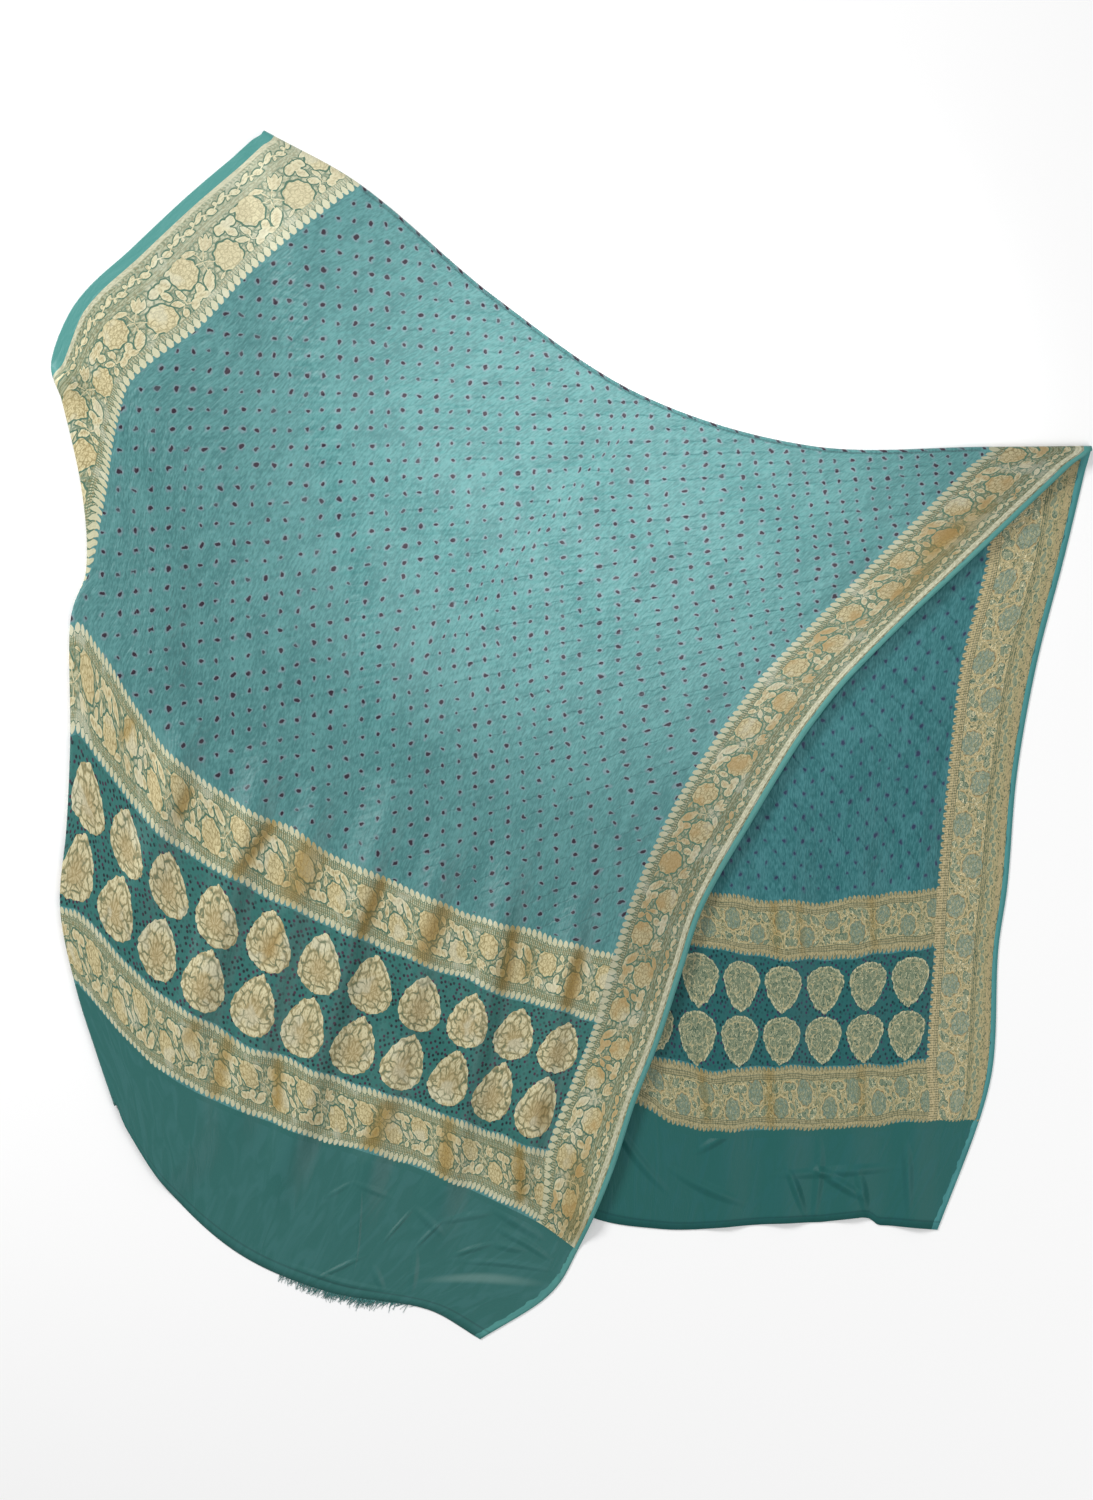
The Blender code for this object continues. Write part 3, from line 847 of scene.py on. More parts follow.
def lie_of_the_weave(tree):
    """The amounts that the patterns are drawn from, by name."""
    place = weave_place(tree)
    across, along, _ = parts_of(tree, place)
    lie = {"place": place, "across": across, "along": along}
    right = across.over(0.5 * WIDTH)
    from_edge = (across - 0.5 * WIDTH).size().less_from(0.5 * WIDTH)
    from_edge = from_edge * right.pick((1.0, RIGHT_SCALE[0]))
    border = from_edge.under(LEFT_BORDER) * along.from_to(*ENDS)
    far = along.over(TURN)
    off_panel = (along - far.pick(PANEL_MIDDLE)).size()
    off_band = off_panel - far.pick(BAND_OFF)
    waver = Amount(tree, noise_of(tree, place, WAVER_SCALE, 0.0)["Fac"])
    off_band = (waver - 0.5).times_plus(BAND_WAVER, off_band)
    band_off = off_band * far.pick([BAND_REACH / half for half in BAND_HALF])
    off = band_off.between(from_edge - (LEFT_BORDER - VINE_MIDDLE), border)
    up = along * right.pick((1.0, RIGHT_SCALE[1])) + right.pick(START)
    run = (across * BAND_PITCH).between(up, border)
    lie.update(from_edge=from_edge, border=border, far=far, off=off, run=run)
    lie["open"] = border.less_from(1.0)
    lie["band"] = band_off.within(0.0, BAND_REACH) * lie["open"]
    lie["crossing"] = band_off.within(0.0, BAND_REACH - CROSSING[0]) * border * off.over(CROSSING[1])
    lie["woven"] = lie["band"].most(border)
    lie["panel"] = band_off.under(-BAND_REACH) * lie["open"]
    lie["toothed"] = off.size().between(off, border)
    lie["field"] = along.from_to(*FIELD) * lie["open"]
    return lie


print("borders of", LEFT_BORDER, "and", RIGHT_BORDER, "mm, panels at", PANEL_MIDDLE, "mm")

# %% [markdown]
# ## The flower vine
#
# The borders and bands repeat one traditional vine of the brocade weavers: two full roses to a repeat,
# set off to either side, with lobed leaves, buds and tulips filling the ground between them. It is
# charted below, in millimetres, with the first number along the vine and the second across it.
# A motif is an oval or a pointed leaf, and the nearest one to a point decides what is woven there.

# %% Chart of the vine
REPEAT_HALF = 49.0
ROSE_ALONG = 24.5
ROSE_ACROSS = (10.5, -9.5)  # of the rose in the first half of the repeat and in the second
ROSE_RADIUS = 15.6
MOTIFS = (
    # name, along, across, turn, half length, half width, shape
    ("tulip heart", -33.5, -16.5, -46, 8.0, 3.2, "leaf"),
    ("tulip left", -37.6, -18.4, -66, 7.0, 3.0, "leaf"),
    ("tulip right", -31.0, -12.6, -28, 7.2, 3.0, "leaf"),
    ("tulip cup", -38.4, -12.6, 44, 4.6, 3.4, "oval"),
    ("lobe 1", 1.6, -15.2, 10, 5.6, 5.2, "oval"),
    ("lobe 2", -13.6, -15.4, -20, 6.4, 5.0, "oval"),
    ("lobe 3", -5.2, -5.0, 60, 6.6, 4.4, "leaf"),
    ("lobe heart", -6.0, -15.0, 0, 5.4, 5.6, "oval"),
    ("hand 1", 26.6, 12.4, -60, 5.8, 4.8, "oval"),
    ("hand 2", 12.6, 20.0, -30, 6.6, 4.4, "oval"),
    ("hand 3", 26.4, 20.2, 30, 6.4, 3.8, "leaf"),
    ("hand heart", 19.6, 17.4, 0, 5.0, 4.6, "oval"),
    ("bud leaf", 40.2, 14.4, -46, 12.0, 5.6, "leaf"),
    ("small bud", -1.8, 20.0, -46, 4.8, 3.5, "oval"),
    ("stem leaf 1", 7.0, 3.4, 76, 7.0, 3.5, "leaf"),
    ("stem leaf 2", -2.0, 8.0, 40, 7.2, 3.6, "leaf"),
    ("long leaf", 42.2, -19.8, 24, 9.2, 3.1, "leaf"),
    ("scroll", -43.2, 21.2, -14, 5.2, 1.7, "leaf"),
    ("far bud", 11.6, -21.0, 12, 5.2, 2.4, "leaf"),
    ("stem 1", -43.6, -8.4, -39, 7.2, 0.8, "oval"),
    ("stem 2", 44.6, -5.2, 17, 5.6, 0.8, "oval"),
    ("stem 3", 46.8, 2.4, 104, 7.0, 0.8, "oval"),
    ("stem 4", -43.4, 1.0, 42, 7.4, 0.8, "oval"),
    ("stem 5", 47.6, -11.0, 75, 6.4, 0.8, "oval"),
    ("stem 6", 8.6, 16.2, 30, 4.8, 0.8, "oval"),
    ("stem 7", 6.2, 10.4, -80, 4.6, 0.8, "oval"),
    ("stem 8", 1.2, 14.4, -40, 4.4, 0.8, "oval"),
)
FILL_PITCH = 7.4  # of the small leaves that fill what the motifs leave
TOOTH_HALF = 4.45  # half the pitch of the teeth
TOOTH = {"centre": (0.0, 35.4), "turn": 104.0, "radii": (6.6, 3.7)}
BAND_TOOTH = (1.35, 14.6)  # in a band the teeth are this much shorter, and this keeps their tips on the edge
ROSE_PETALS = (2.7, 1.35)  # rings of petals in a rose, and petals to a radian
DROP_PETALS = (2.6, 1.9)  # and in a drop
SPRIG_HALF = 16.33  # half the repeat of the narrow vine beside the left selvedge
SPRIGS = (
    # name, along, across, turn, half length, half width, shape
    ("sprig leaf 1", -8.2, -34.6, 26, 6.4, 3.2, "leaf"),
    ("sprig leaf 2", 8.2, -38.6, -26, 6.4, 3.2, "leaf"),
    ("sprig bud 1", -1.0, -38.6, 40, 3.4, 2.0, "leaf"),
    ("sprig bud 2", 15.2, -34.4, -40, 3.4, 2.0, "leaf"),
)
SPRIG_STEM = (2.2, 0.8)  # how far its stem sways, and half the stem's thickness
ROSE_LOBES = (9, 0.045)  # petals round the outline of a rose, and how deep the notches between them are
# across the vine, the middle and half width of the gold ground, of the net at each side of the vine, of the
# narrow vine beside the left selvedge, of the corded line outside that, and of the plain gold strip at the edge
GROUND = (-9.6, 45.8)
TRELLIS = (28.4, 4.6)
SPRIG_STRIP = (-36.5, 6.4)
CORD_LINE = (-44.6, 1.6)
PLAIN_STRIP = (-49.8, 3.2)
NET_PITCH = 3.6
WANDER = 1.5  # mm that a drawn line strays, because the loom steps from thread to thread
WANDER_SCALE = 0.11


def nearest_of(tree, spot, rows):
    """Distance to the nearest motif of a chart: under 1 inside one."""
    found = None
    for _, along, across, turn, long, wide, shape in rows:
        draw = leaf if shape == "leaf" else oval
        far = draw(tree, spot, (along, across), turn, (long, wide))
        found = far if found is None else found.least(far)
    return found


def wander(tree, vector):
    """A small slow error at each place, as in drawing by hand: three numbers around 0."""
    noise = noise_of(tree, vector, WANDER_SCALE, 1.0)["Color"]
    return vector_math(tree, "SUBTRACT", noise, (0.5, 0.5, 0.5)).outputs[0]


def cell_lines(tree, vector):
    """Distance to the nearest line between the cells of a Voronoi texture: small petals or leaves, packed."""
    cells = tree.nodes.new("ShaderNodeTexVoronoi")
    cells.voronoi_dimensions = "2D"
    cells.feature = "DISTANCE_TO_EDGE"
    cells.inputs["Scale"].default_value = 1.0
    tree.links.new(vector, cells.inputs["Vector"])
    return Amount(tree, cells.outputs["Distance"])


def vine_of(tree, lie, stray):
    """Adds the vine's amounts: its motifs, roses, teeth and the small patterns beside it."""
    off, toothed, border = lie["off"], lie["toothed"], lie["border"]
    run = lie["run"].repeat(REPEAT_HALF)
    scaled = vector_math(tree, "MULTIPLY", stray, (2 * WANDER, 2 * WANDER, 0.0)).outputs[0]
    spot = vector_math(tree, "ADD", vector_of(tree, run, off), scaled).outputs[0]
    lie["motif"] = nearest_of(tree, spot, MOTIFS)
    rise = off - run.over(0.0).pick(ROSE_ACROSS)
    aside = run.size() - ROSE_ALONG
    seen = vector_math(tree, "ADD", vector_of(tree, aside, rise), scaled).outputs[0]
    far = length_of(tree, seen) / ROSE_RADIUS
    angle = rise.reckon("ARCTAN2", aside)
    lobes, notch = ROSE_LOBES
    lie["rose"] = far * angle.wave(2 * math.pi / lobes).times_plus(notch, 1.0)
    lie["petals"] = cell_lines(tree, vector_of(tree, far * ROSE_PETALS[0], angle * ROSE_PETALS[1])).fade(0.03, 0.13)
    lie["jaal"] = off.within(0.0, VINE_HALF) * lie["woven"]
    lie["ground"] = toothed.within(*GROUND) * lie["woven"]
    lie["trellis"] = off.size().within(*TRELLIS) * lie["woven"] * toothed.over(0.0).pick((0.25, 1.0))
    lie["fine"] = (lie["run"] + off).wave(NET_PITCH) * (lie["run"] - off).wave(NET_PITCH)
    fill_spot = place_in(tree, spot, (0.0, 0.0), 20.0, (1.3 * FILL_PITCH, FILL_PITCH))
    lie["fill"] = cell_lines(tree, fill_spot)
    shorter = toothed.times_plus(BAND_TOOTH[0], -BAND_TOOTH[1]).between(toothed, border)
    tooth_spot = vector_of(tree, lie["run"].repeat(TOOTH_HALF), shorter)
    lie["tooth"] = leaf(tree, tooth_spot, TOOTH["centre"], TOOTH["turn"], TOOTH["radii"])
    sprig_run = lie["run"].repeat(SPRIG_HALF)
    sprig = nearest_of(tree, vector_of(tree, sprig_run, off), SPRIGS)
    sway, thickness = SPRIG_STEM
    stem = (off - SPRIG_STRIP[0] + sprig_run.wave(2 * SPRIG_HALF) * sway).size() / thickness
    lie["sprig"] = sprig.least(stem)
    lie["sprig strip"] = off.within(*SPRIG_STRIP) * border
    lie["cord line"] = off.within(*CORD_LINE) * border
    lie["plain strip"] = off.within(*PLAIN_STRIP) * border


print("the vine has", len(MOTIFS), "motifs and 2 roses to a repeat of", 2 * REPEAT_HALF, "mm")

# %% [markdown]
# ## The flower drops
#
# Each panel holds two rows of drops with their tips towards the ridge. A drop is packed with rings of
# small petals, so polar coordinates do the work: the distance from the middle and the angle round it are
# the two coordinates of a cell texture, and its cells come out as petals. The outline is round below and
# drawn to a point above. The roses of the vine are filled in the same way.

# %% Chart of a drop
DROP_HALF_PITCH = 32.5
DROP_HALF_WIDTH = (27.6, 28.8)  # in the near panel and in the far one
DROP_ROW = (331.0, 1703.0)  # the middle of one row
DROP_ROW_HALF = (33.5, 28.5)  # half the distance between the two rows
DROP_TALL = 1.075
DROP_WAIST = -0.29  # where it is widest, from its middle
DROP_POINT = 0.25
DROP_SCALLOPS = 13
DROP_NOTCH = 0.022  # how deep they are
DROP_STRAY = (0.11, 0.6)  # how unevenly its rings and its petals are drawn
DROP_RIM = (0.95, 0.05)  # middle and half width of its rim


def drops_of(tree, lie, stray):
    """Adds the drops' amounts: the distance from the middle of a drop, 1 on its outline, and its lines."""
    far = lie["far"]
    start = LEFT_BORDER + DROP_HALF_PITCH
    aside = (lie["across"] - start).repeat(DROP_HALF_PITCH) / far.pick(DROP_HALF_WIDTH)
    rows_off = (lie["along"] - far.pick(DROP_ROW)) / far.pick(DROP_ROW_HALF)
    rows_off = rows_off + far.pick((1.0, -1.0))
    two_rows = rows_off.within(0.0, 2.0)
    up = (rows_off - 1.0).repeat(1.0) * DROP_TALL - DROP_WAIST
    up = up * up.over(0.0).pick((1.0 / (1.0 + DROP_WAIST), 1.0 / (1.0 - DROP_WAIST)))
    round_out = length_of(tree, vector_of(tree, aside, up))
    outward, sideways, _ = parts_of(tree, stray)
    out = (aside.size() * up.most(0.0)).times_plus(DROP_POINT, round_out)
    out = outward.times_plus(DROP_STRAY[0], out)
    angle = sideways.times_plus(DROP_STRAY[1], up.reckon("ARCTAN2", aside))
    petal = angle.wave(2 * math.pi / DROP_SCALLOPS)
    lie["drop"] = out * petal.times_plus(-DROP_NOTCH, 1.0)
    lie["drop mask"] = lie["drop"].under(1.0) * lie["panel"] * two_rows
    lie["drop heart"] = out.fade(0.2, 0.8, 1.0, 0.0) * lie["drop mask"]
    lines = cell_lines(tree, vector_of(tree, out * DROP_PETALS[0], angle * DROP_PETALS[1]))
    uneven = outward.fade(-0.12, 0.16, 0.35, 1.0) * out.fade(0.2, 0.5)
    lie["drop lines"] = lines.fade(0.03, 0.13, 1.0, 0.0) * lie["drop mask"] * out.under(DROP_RIM[0]) * uneven
    lie["petals"] = lie["petals"].between(lines.fade(0.02, 0.24), lie["drop mask"])
    lie["rim"] = lie["drop"].within(*DROP_RIM) * lie["drop mask"]


print("each panel has two rows of", round((WIDTH - LEFT_BORDER - RIGHT_BORDER) / (2 * DROP_HALF_PITCH)), "drops")

# %% [markdown]
# ## Tied dots
#
# For bandhani the dyer folds the cloth, nips up a point, ties it and dips the cloth, and each tie leaves
# a dot. The dots keep to the folds, in rows and columns, but no two are quite alike. The sheet already
# counts those rows at every point, so a Voronoi texture with little randomness, read at that count, is
# such a grid, and each cell has a random colour to draw on for its strength. Thin creases run along the
# rows, from tie to tie, darkened here and there with painted shade. In the panels the ties are tiny and
# crowded.

# %% Chart of the dots
DOT_CORE = 2.1  # mm
DOT_RING = 3.5
TIE_SPREAD = 0.16  # how far a tie strays from its place in the row
ROW_STRAY = 0.3  # and how far the rows themselves do
SPECK_PITCH = 5.6
SPECK_SPREAD = 0.75


def grid_of_ties(tree, place, randomness):
    """(way to the nearest tie, its length in pitches, a random number per tie, a second one)."""
    cells = tree.nodes.new("ShaderNodeTexVoronoi")
    cells.voronoi_dimensions = "2D"
    cells.inputs["Scale"].default_value = 1.0
    cells.inputs["Randomness"].default_value = randomness
    tree.links.new(place, cells.inputs["Vector"])
    split = tree.nodes.new("ShaderNodeSeparateColor")
    tree.links.new(cells.outputs["Color"], split.inputs[0])
    way = vector_math(tree, "SUBTRACT", cells.outputs["Position"], place).outputs[0]
    return way, *(Amount(tree, out) for out in (cells.outputs["Distance"], *split.outputs[:2]))


def length_in_mm(tree, way, column, row, far):
    """The length of a way between ties, though the rows fan out and draw together over the near half."""
    aside, up, _ = parts_of(tree, way)
    near_x = aside * TIE_COLUMNS
    near_y = up * column.times_plus(TIE_ROWS[1] * TIE_COLUMNS, TIE_ROWS[0]) + near_x * row * TIE_ROWS[1]
    x = near_x.between(aside * FAR_TIES, far)
    y = near_y.between(up * FAR_TIES, far)
    return length_of(tree, vector_of(tree, x, y))


def ties_of(tree, lie, stray):
    """Adds the dots of the field and the specks of the panels."""
    shaken = vector_math(tree, "MULTIPLY", stray, (ROW_STRAY, ROW_STRAY, 0.0)).outputs[0]
    rows = vector_math(tree, "ADD", stored(tree, "ties")["Vector"], shaken).outputs[0]
    way, lie["tie"], strength, _ = grid_of_ties(tree, rows, TIE_SPREAD)
    column, row, _ = parts_of(tree, rows)
    size = strength.times_plus(0.2, 0.9) * lie["across"].fade(90.0, 480.0, 1.08, 0.95)
    size = size * lie["across"].fade(480.0, 780.0, 1.0, 0.92)
    off_row = (row - 0.5 * TIE_SPREAD).repeat(0.5).size()
    lie["crease"] = off_row.fade(0.0, 0.1, 1.0, 0.0) * column.fade(-20.0, 4.0, 0.25, 1.0)
    away = length_in_mm(tree, way, column, row, lie["far"]) / size
    strong = strength.fade(0.0, 0.35, 0.8, 1.0)
    lie["dot"] = away.fade(DOT_CORE * 0.75, DOT_CORE * 1.2, 1.0, 0.0) * strong * lie["field"]
    lie["ring"] = away.fade(DOT_RING * 0.7, DOT_RING * 1.3, 1.0, 0.0) * strong * lie["field"]
    crowded = place_in(tree, lie["place"], (0.0, 0.0), 30.0, (SPECK_PITCH, SPECK_PITCH))
    _, near, shade, lie["speck tint"] = grid_of_ties(tree, crowded, SPECK_SPREAD)
    lie["speck"] = near.fade(0.2, 0.38, 1.0, 0.0) * shade.fade(0.15, 0.6, 0.2, 1.0) * lie["panel"]


print("columns of dots every", TIE_COLUMNS, "mm, specks every", SPECK_PITCH, "mm")

# %% [markdown]
# ## Pull the patterns together
#
# The face and the reverse are two sides of the same threads, so both read one node group that says what
# is woven or dyed at each point. Only the colours differ.

# %% The group that both sides read
OUTPUTS = (
    "gold", "line", "lattice", "ribbed", "motif", "rose", "petals", "drop", "strip", "tooth", "vine", "rib",
    "dot", "ring", "tie", "speck", "speck tint", "plain end", "selvedge", "panel", "edge line", "hem", "painted_sheen",
    "heart", "painted_right_shade", "fill", "crease", "warm", "rim", "rose line",
)
SHEEN_PAINTED_ALONG = (640.0, 980.0)  # mm along: from here on, a painted sheen lightens the gold of the left border
RIGHT_SHADE_PAINTED_ALONG = (240.0, 520.0)  # and painted shade darkens the right border's gold over these
BARE_LEFT = 12.5  # mm without gold at the left selvedge
SELVEDGE = 11.5  # mm of selvedge at each side,
SELVEDGE_MORE = 3.5  # but more by this at the left and less at the right,
SELVEDGE_WAVE = 7.0  # and its inner edge strays by this
HEMS = (11.0, 1959.0)  # mm along: the stitch lines of the two hems
RIBBED_FROM = 24.5  # across the vine: past this the gold is ribbed
TOOTH_FEET = (32.4, 2.6)  # and here, middle and half width, the teeth are outlined
EDGE_LINES = (27.3, 2.8)  # three fine lines edge the vine: the middle one, and the gap from it to the others
CORD_PITCH = 4.2
RIB_PITCH = 3.1


def weave_group():
    tree, result = new_group("weave of the dupatta", OUTPUTS)
    lie = lie_of_the_weave(tree)
    stray = wander(tree, lie["place"])
    vine_of(tree, lie, stray)
    drops_of(tree, lie, stray)
    ties_of(tree, lie, stray)
    in_rose = lie["rose"].under(1.0) * lie["jaal"]
    in_motif = lie["motif"].under(1.0) * lie["jaal"]
    in_sprig = lie["sprig"].under(1.0) * lie["sprig strip"]
    in_tooth = lie["tooth"].fade(0.85, 1.1, 1.0, 0.0) * lie["woven"]
    inside = in_rose.most(in_motif)
    line = lie["rose"].within(1.06, 0.07).most(lie["motif"].within(1.14, 0.15)).most(lie["fill"].under(0.1) * 0.6)
    line = line * inside.less_from(1.0) * lie["jaal"]
    sprig_line = in_sprig.less_from(1.0) * lie["sprig strip"] * lie["sprig"].fade(1.2, 1.7, 1.0, 0.15)
    cord_line = lie["cord line"] * lie["run"].wave(CORD_PITCH).over(0.0) * 0.4
    tooth_line = lie["tooth"].within(1.1, 0.12) * lie["toothed"].within(*TOOTH_FEET) * lie["woven"]
    gold = lie["ground"].most(in_tooth).most(lie["drop mask"]).most(lie["plain strip"]).most(lie["crossing"])
    off, across, along = lie["off"], lie["across"], lie["along"]
    on_left = across.under(0.5 * WIDTH) * lie["border"]
    on_right = across.over(0.5 * WIDTH) * lie["border"]
    gold = gold * (lie["from_edge"].under(BARE_LEFT) * on_left).less_from(1.0)
    from_edge = lie["from_edge"] + on_right * SELVEDGE_MORE - on_left * SELVEDGE_MORE
    middle, gap = EDGE_LINES
    outer_lines = (off.size() - middle).size().within(gap, 0.5)
    shown = {
        "gold": gold,
        "line": line.most(sprig_line).most(cord_line).most(lie["drop lines"]).most(tooth_line),
        "lattice": lie["fine"].over(0.1) * lie["trellis"].most(lie["jaal"] * 0.45),
        "ribbed": lie["toothed"].over(RIBBED_FROM) * lie["woven"],
        "motif": in_motif.most(in_sprig), "rose": in_rose, "petals": lie["petals"], "drop": lie["drop mask"],
        "heart": (lie["motif"].fade(0.2, 0.75, 0.8, 0.0) * lie["jaal"]).most(lie["drop heart"]),
        "fill": lie["fill"].fade(0.14, 0.34) * lie["jaal"],
        "strip": lie["plain strip"], "tooth": in_tooth, "vine": lie["jaal"], "rib": lie["run"].wave(RIB_PITCH),
        "dot": lie["dot"], "ring": lie["ring"], "tie": lie["tie"],
        "speck": lie["speck"] * lie["drop mask"].less_from(1.0), "speck tint": lie["speck tint"],
        "plain end": along.from_to(*ENDS).less_from(1.0), "panel": lie["panel"],
        "selvedge": parts_of(tree, stray)[0].times_plus(SELVEDGE_WAVE, from_edge).under(SELVEDGE),
        "edge line": outer_lines.most(off.size().within(middle, 0.35)) * lie["woven"],
        "hem": (along - 0.5 * (HEMS[0] + HEMS[1])).size().within(0.5 * (HEMS[1] - HEMS[0]), 1.0),
        "painted_sheen": along.fade(*SHEEN_PAINTED_ALONG) * on_left, "painted_right_shade": along.fade(*RIGHT_SHADE_PAINTED_ALONG) * on_right, "warm": on_right,
        "crease": lie["crease"] * lie["field"], "rim": lie["rim"],
        "rose line": lie["rose"].within(1.0, 0.09).most(lie["motif"].within(1.0, 0.14)) * lie["jaal"],
    }
    for name, value in shown.items():
        tree.links.new(value.socket, result.inputs[name])
    return tree


weave = weave_group()
print("the pattern takes", len(weave.nodes), "nodes")

# %% [markdown]
# ## Georgette and zari
#
# Georgette is woven from hard-twisted threads that shrink back and leave a fine dry crinkle, with longer
# creases up the warp. The gold is zari, a metal-wrapped thread laid over the ground: paler, raised and a
# little glossy, and darkened to brown with painted shade where it dips into a valley. Colours are given as
# a painter would read them from a screen, and `dye` turns them into the light values that the shader wants.

# %% Colours and cloth finish
EXPOSURE = 1.1  # the lamps are this much over plain daylight, which keeps the table top white


def dye(red, green, blue):
    """A screen colour, 0 to 255, as light."""
    return tuple(((c / 255 + 0.055) / 1.055) ** 2.4 / EXPOSURE for c in (red, green, blue))


FACE = {
    "teal": dye(58, 116, 116), "teal light": dye(84, 142, 141), "plain": dye(34, 100, 95),
    "panel": dye(40, 108, 102), "selvedge": dye(74, 146, 140), "line": dye(58, 104, 86),
    "filler": dye(172, 174, 140), "filler dark": dye(84, 110, 84), "lattice": dye(92, 116, 88),
    "motif": dye(214, 206, 166), "rose": dye(208, 196, 150), "petal": dye(140, 126, 80),
    "strip": dye(204, 202, 174), "tooth": dye(200, 198, 164), "heart": dye(166, 142, 92),
    # silver: a painted highlight for the zari
    "tan": dye(182, 152, 94), "painted_highlight_silver": dye(216, 218, 196), "pale": dye(104, 142, 136),
    "dot": dye(32, 2, 32), "ring": dye(124, 138, 148), "speck a": dye(60, 24, 54), "speck b": dye(6, 26, 36),
}
REVERSE = {
    "teal": dye(38, 100, 103), "teal light": dye(68, 128, 132), "plain": dye(34, 96, 92),
    "panel": dye(34, 96, 96), "selvedge": dye(74, 146, 146), "line": dye(204, 188, 142),
    "filler": dye(168, 158, 118), "filler dark": dye(104, 114, 84), "lattice": dye(122, 118, 84),
    "motif": dye(118, 140, 120), "rose": dye(126, 150, 138), "petal": dye(146, 152, 122),
    "strip": dye(172, 158, 118), "tooth": dye(190, 176, 136), "drop": dye(122, 136, 112),
    "tan": dye(140, 116, 70), "pale": dye(90, 130, 128), "float": dye(228, 216, 176), "thread": dye(48, 84, 72),
    "dot": dye(46, 58, 86), "ring": dye(60, 84, 104), "speck a": dye(50, 44, 74), "speck b": dye(12, 48, 56),
}
PAINTED_SHADE_IN_A_VALLEY = (0.82, 0.66, 0.34)  # painted shade: how much of the red, green and blue is left where zari lies in a valley
# painted shade: the brown that zari in a valley is mixed towards
PAINTED_VALLEY_BROWN = dye(138, 112, 54)
PAINTED_SHADE_ON_RIGHT = (0.72, 0.72, 0.74)  # and how much is left under the painted shade on the right border
DULL_BAND = (0.8, 0.85, 0.84)  # in the bands of the reverse
PAINTED_SHADE_ON_A_CREASE = (0.55, 0.68, 0.7)  # and under the painted shade on a crease of the field


def texture_of(tree, place, scale, stretch, detail, distortion=0.0):
    """Noise on the weave, in mm, with its own stretch across and along."""
    stretched = vector_math(tree, "MULTIPLY", place, (*stretch, 1.0)).outputs[0]
    return Amount(tree, noise_of(tree, stretched, scale, detail, distortion)["Fac"])


def dyed_colour(tree, sign, colours, crinkle):
    """The dyed ground: teal, with its darker plain ends, its paler selvedges and the ties of the field."""
    colour = mix_colour(tree, colours["teal"], colours["teal light"], crinkle.fade(0.32, 0.68))
    colour = mix_colour(tree, colour, colours["plain"], sign["plain end"])
    colour = mix_colour(tree, colour, colours["selvedge"], sign["selvedge"])
    colour = mix_colour(tree, colour, colours["ring"], sign["ring"] * 0.55)
    return mix_colour(tree, colour, colours["dot"], sign["dot"])


def panel_colour(tree, sign, colours, under):
    """The ground of a panel, with its crowded specks."""
    colour = mix_colour(tree, under, colours["panel"], sign["panel"])
    specks = mix_colour(tree, colours["speck a"], colours["speck b"], sign["speck tint"].fade(0.25, 0.5))
    return mix_colour(tree, colour, specks, sign["speck"])


def face_gold(tree, sign, colours, grain, drift):
    """The gold weave as it shows on the face: pale motifs between thin lines of the ground."""
    gold = mix_colour(tree, colours["filler"], colours["filler dark"], grain.fade(0.4, 0.68))
    gold = mix_colour(tree, gold, colours["motif"], sign["fill"] * 0.5)
    ribs = mix_colour(tree, colours["tooth"], colours["filler dark"], sign["rib"].fade(-0.2, 0.6))
    gold = mix_colour(tree, gold, ribs, sign["ribbed"])
    gold = mix_colour(tree, gold, colours["lattice"], sign["lattice"].most(sign["edge line"]) * 0.75)
    gold = mix_colour(tree, gold, colours["motif"], sign["motif"])
    petal = mix_colour(tree, colours["petal"], colours["rose"], sign["petals"].times_plus(0.7, 0.3))
    gold = mix_colour(tree, gold, petal, sign["rose"])
    petal = mix_colour(tree, colours["petal"], colours["motif"], sign["petals"].times_plus(0.75, 0.25))
    gold = mix_colour(tree, gold, petal, sign["drop"])
    gold = mix_colour(tree, gold, colours["heart"], sign["heart"] * 0.5)
    gold = mix_colour(tree, gold, colours["petal"], grain.fade(0.46, 0.7) * 0.65)
    warm = drift.fade(0.48, 0.66) * sign["rose"].most(sign["motif"]) * sign["warm"].times_plus(0.6, 0.1)
    gold = mix_colour(tree, gold, colours["tan"], warm)
    gold = mix_colour(tree, gold, colours["tooth"], sign["tooth"] * 0.92)
    # painted highlight: silvery glints on the zari, in random patches
    gold = mix_colour(tree, gold, colours["painted_highlight_silver"], drift.fade(0.3, 0.44, 0.35, 0.0))
    # painted sheen: the left border's gold is lightened towards silver further along
    gold = mix_colour(tree, gold, colours["painted_highlight_silver"], sign["painted_sheen"] * 0.3)
    # painted shade: the right border's gold is darkened
    gold = tinted(tree, gold, PAINTED_SHADE_ON_RIGHT, sign["painted_right_shade"])
    gold = mix_colour(tree, gold, colours["strip"], sign["strip"] * grain.fade(0.35, 0.6, 0.9, 0.55))
    line = mix_colour(tree, colours["line"], colours["petal"], sign["drop"] * 0.4)
    return mix_colour(tree, gold, line, sign["line"] * 0.9)


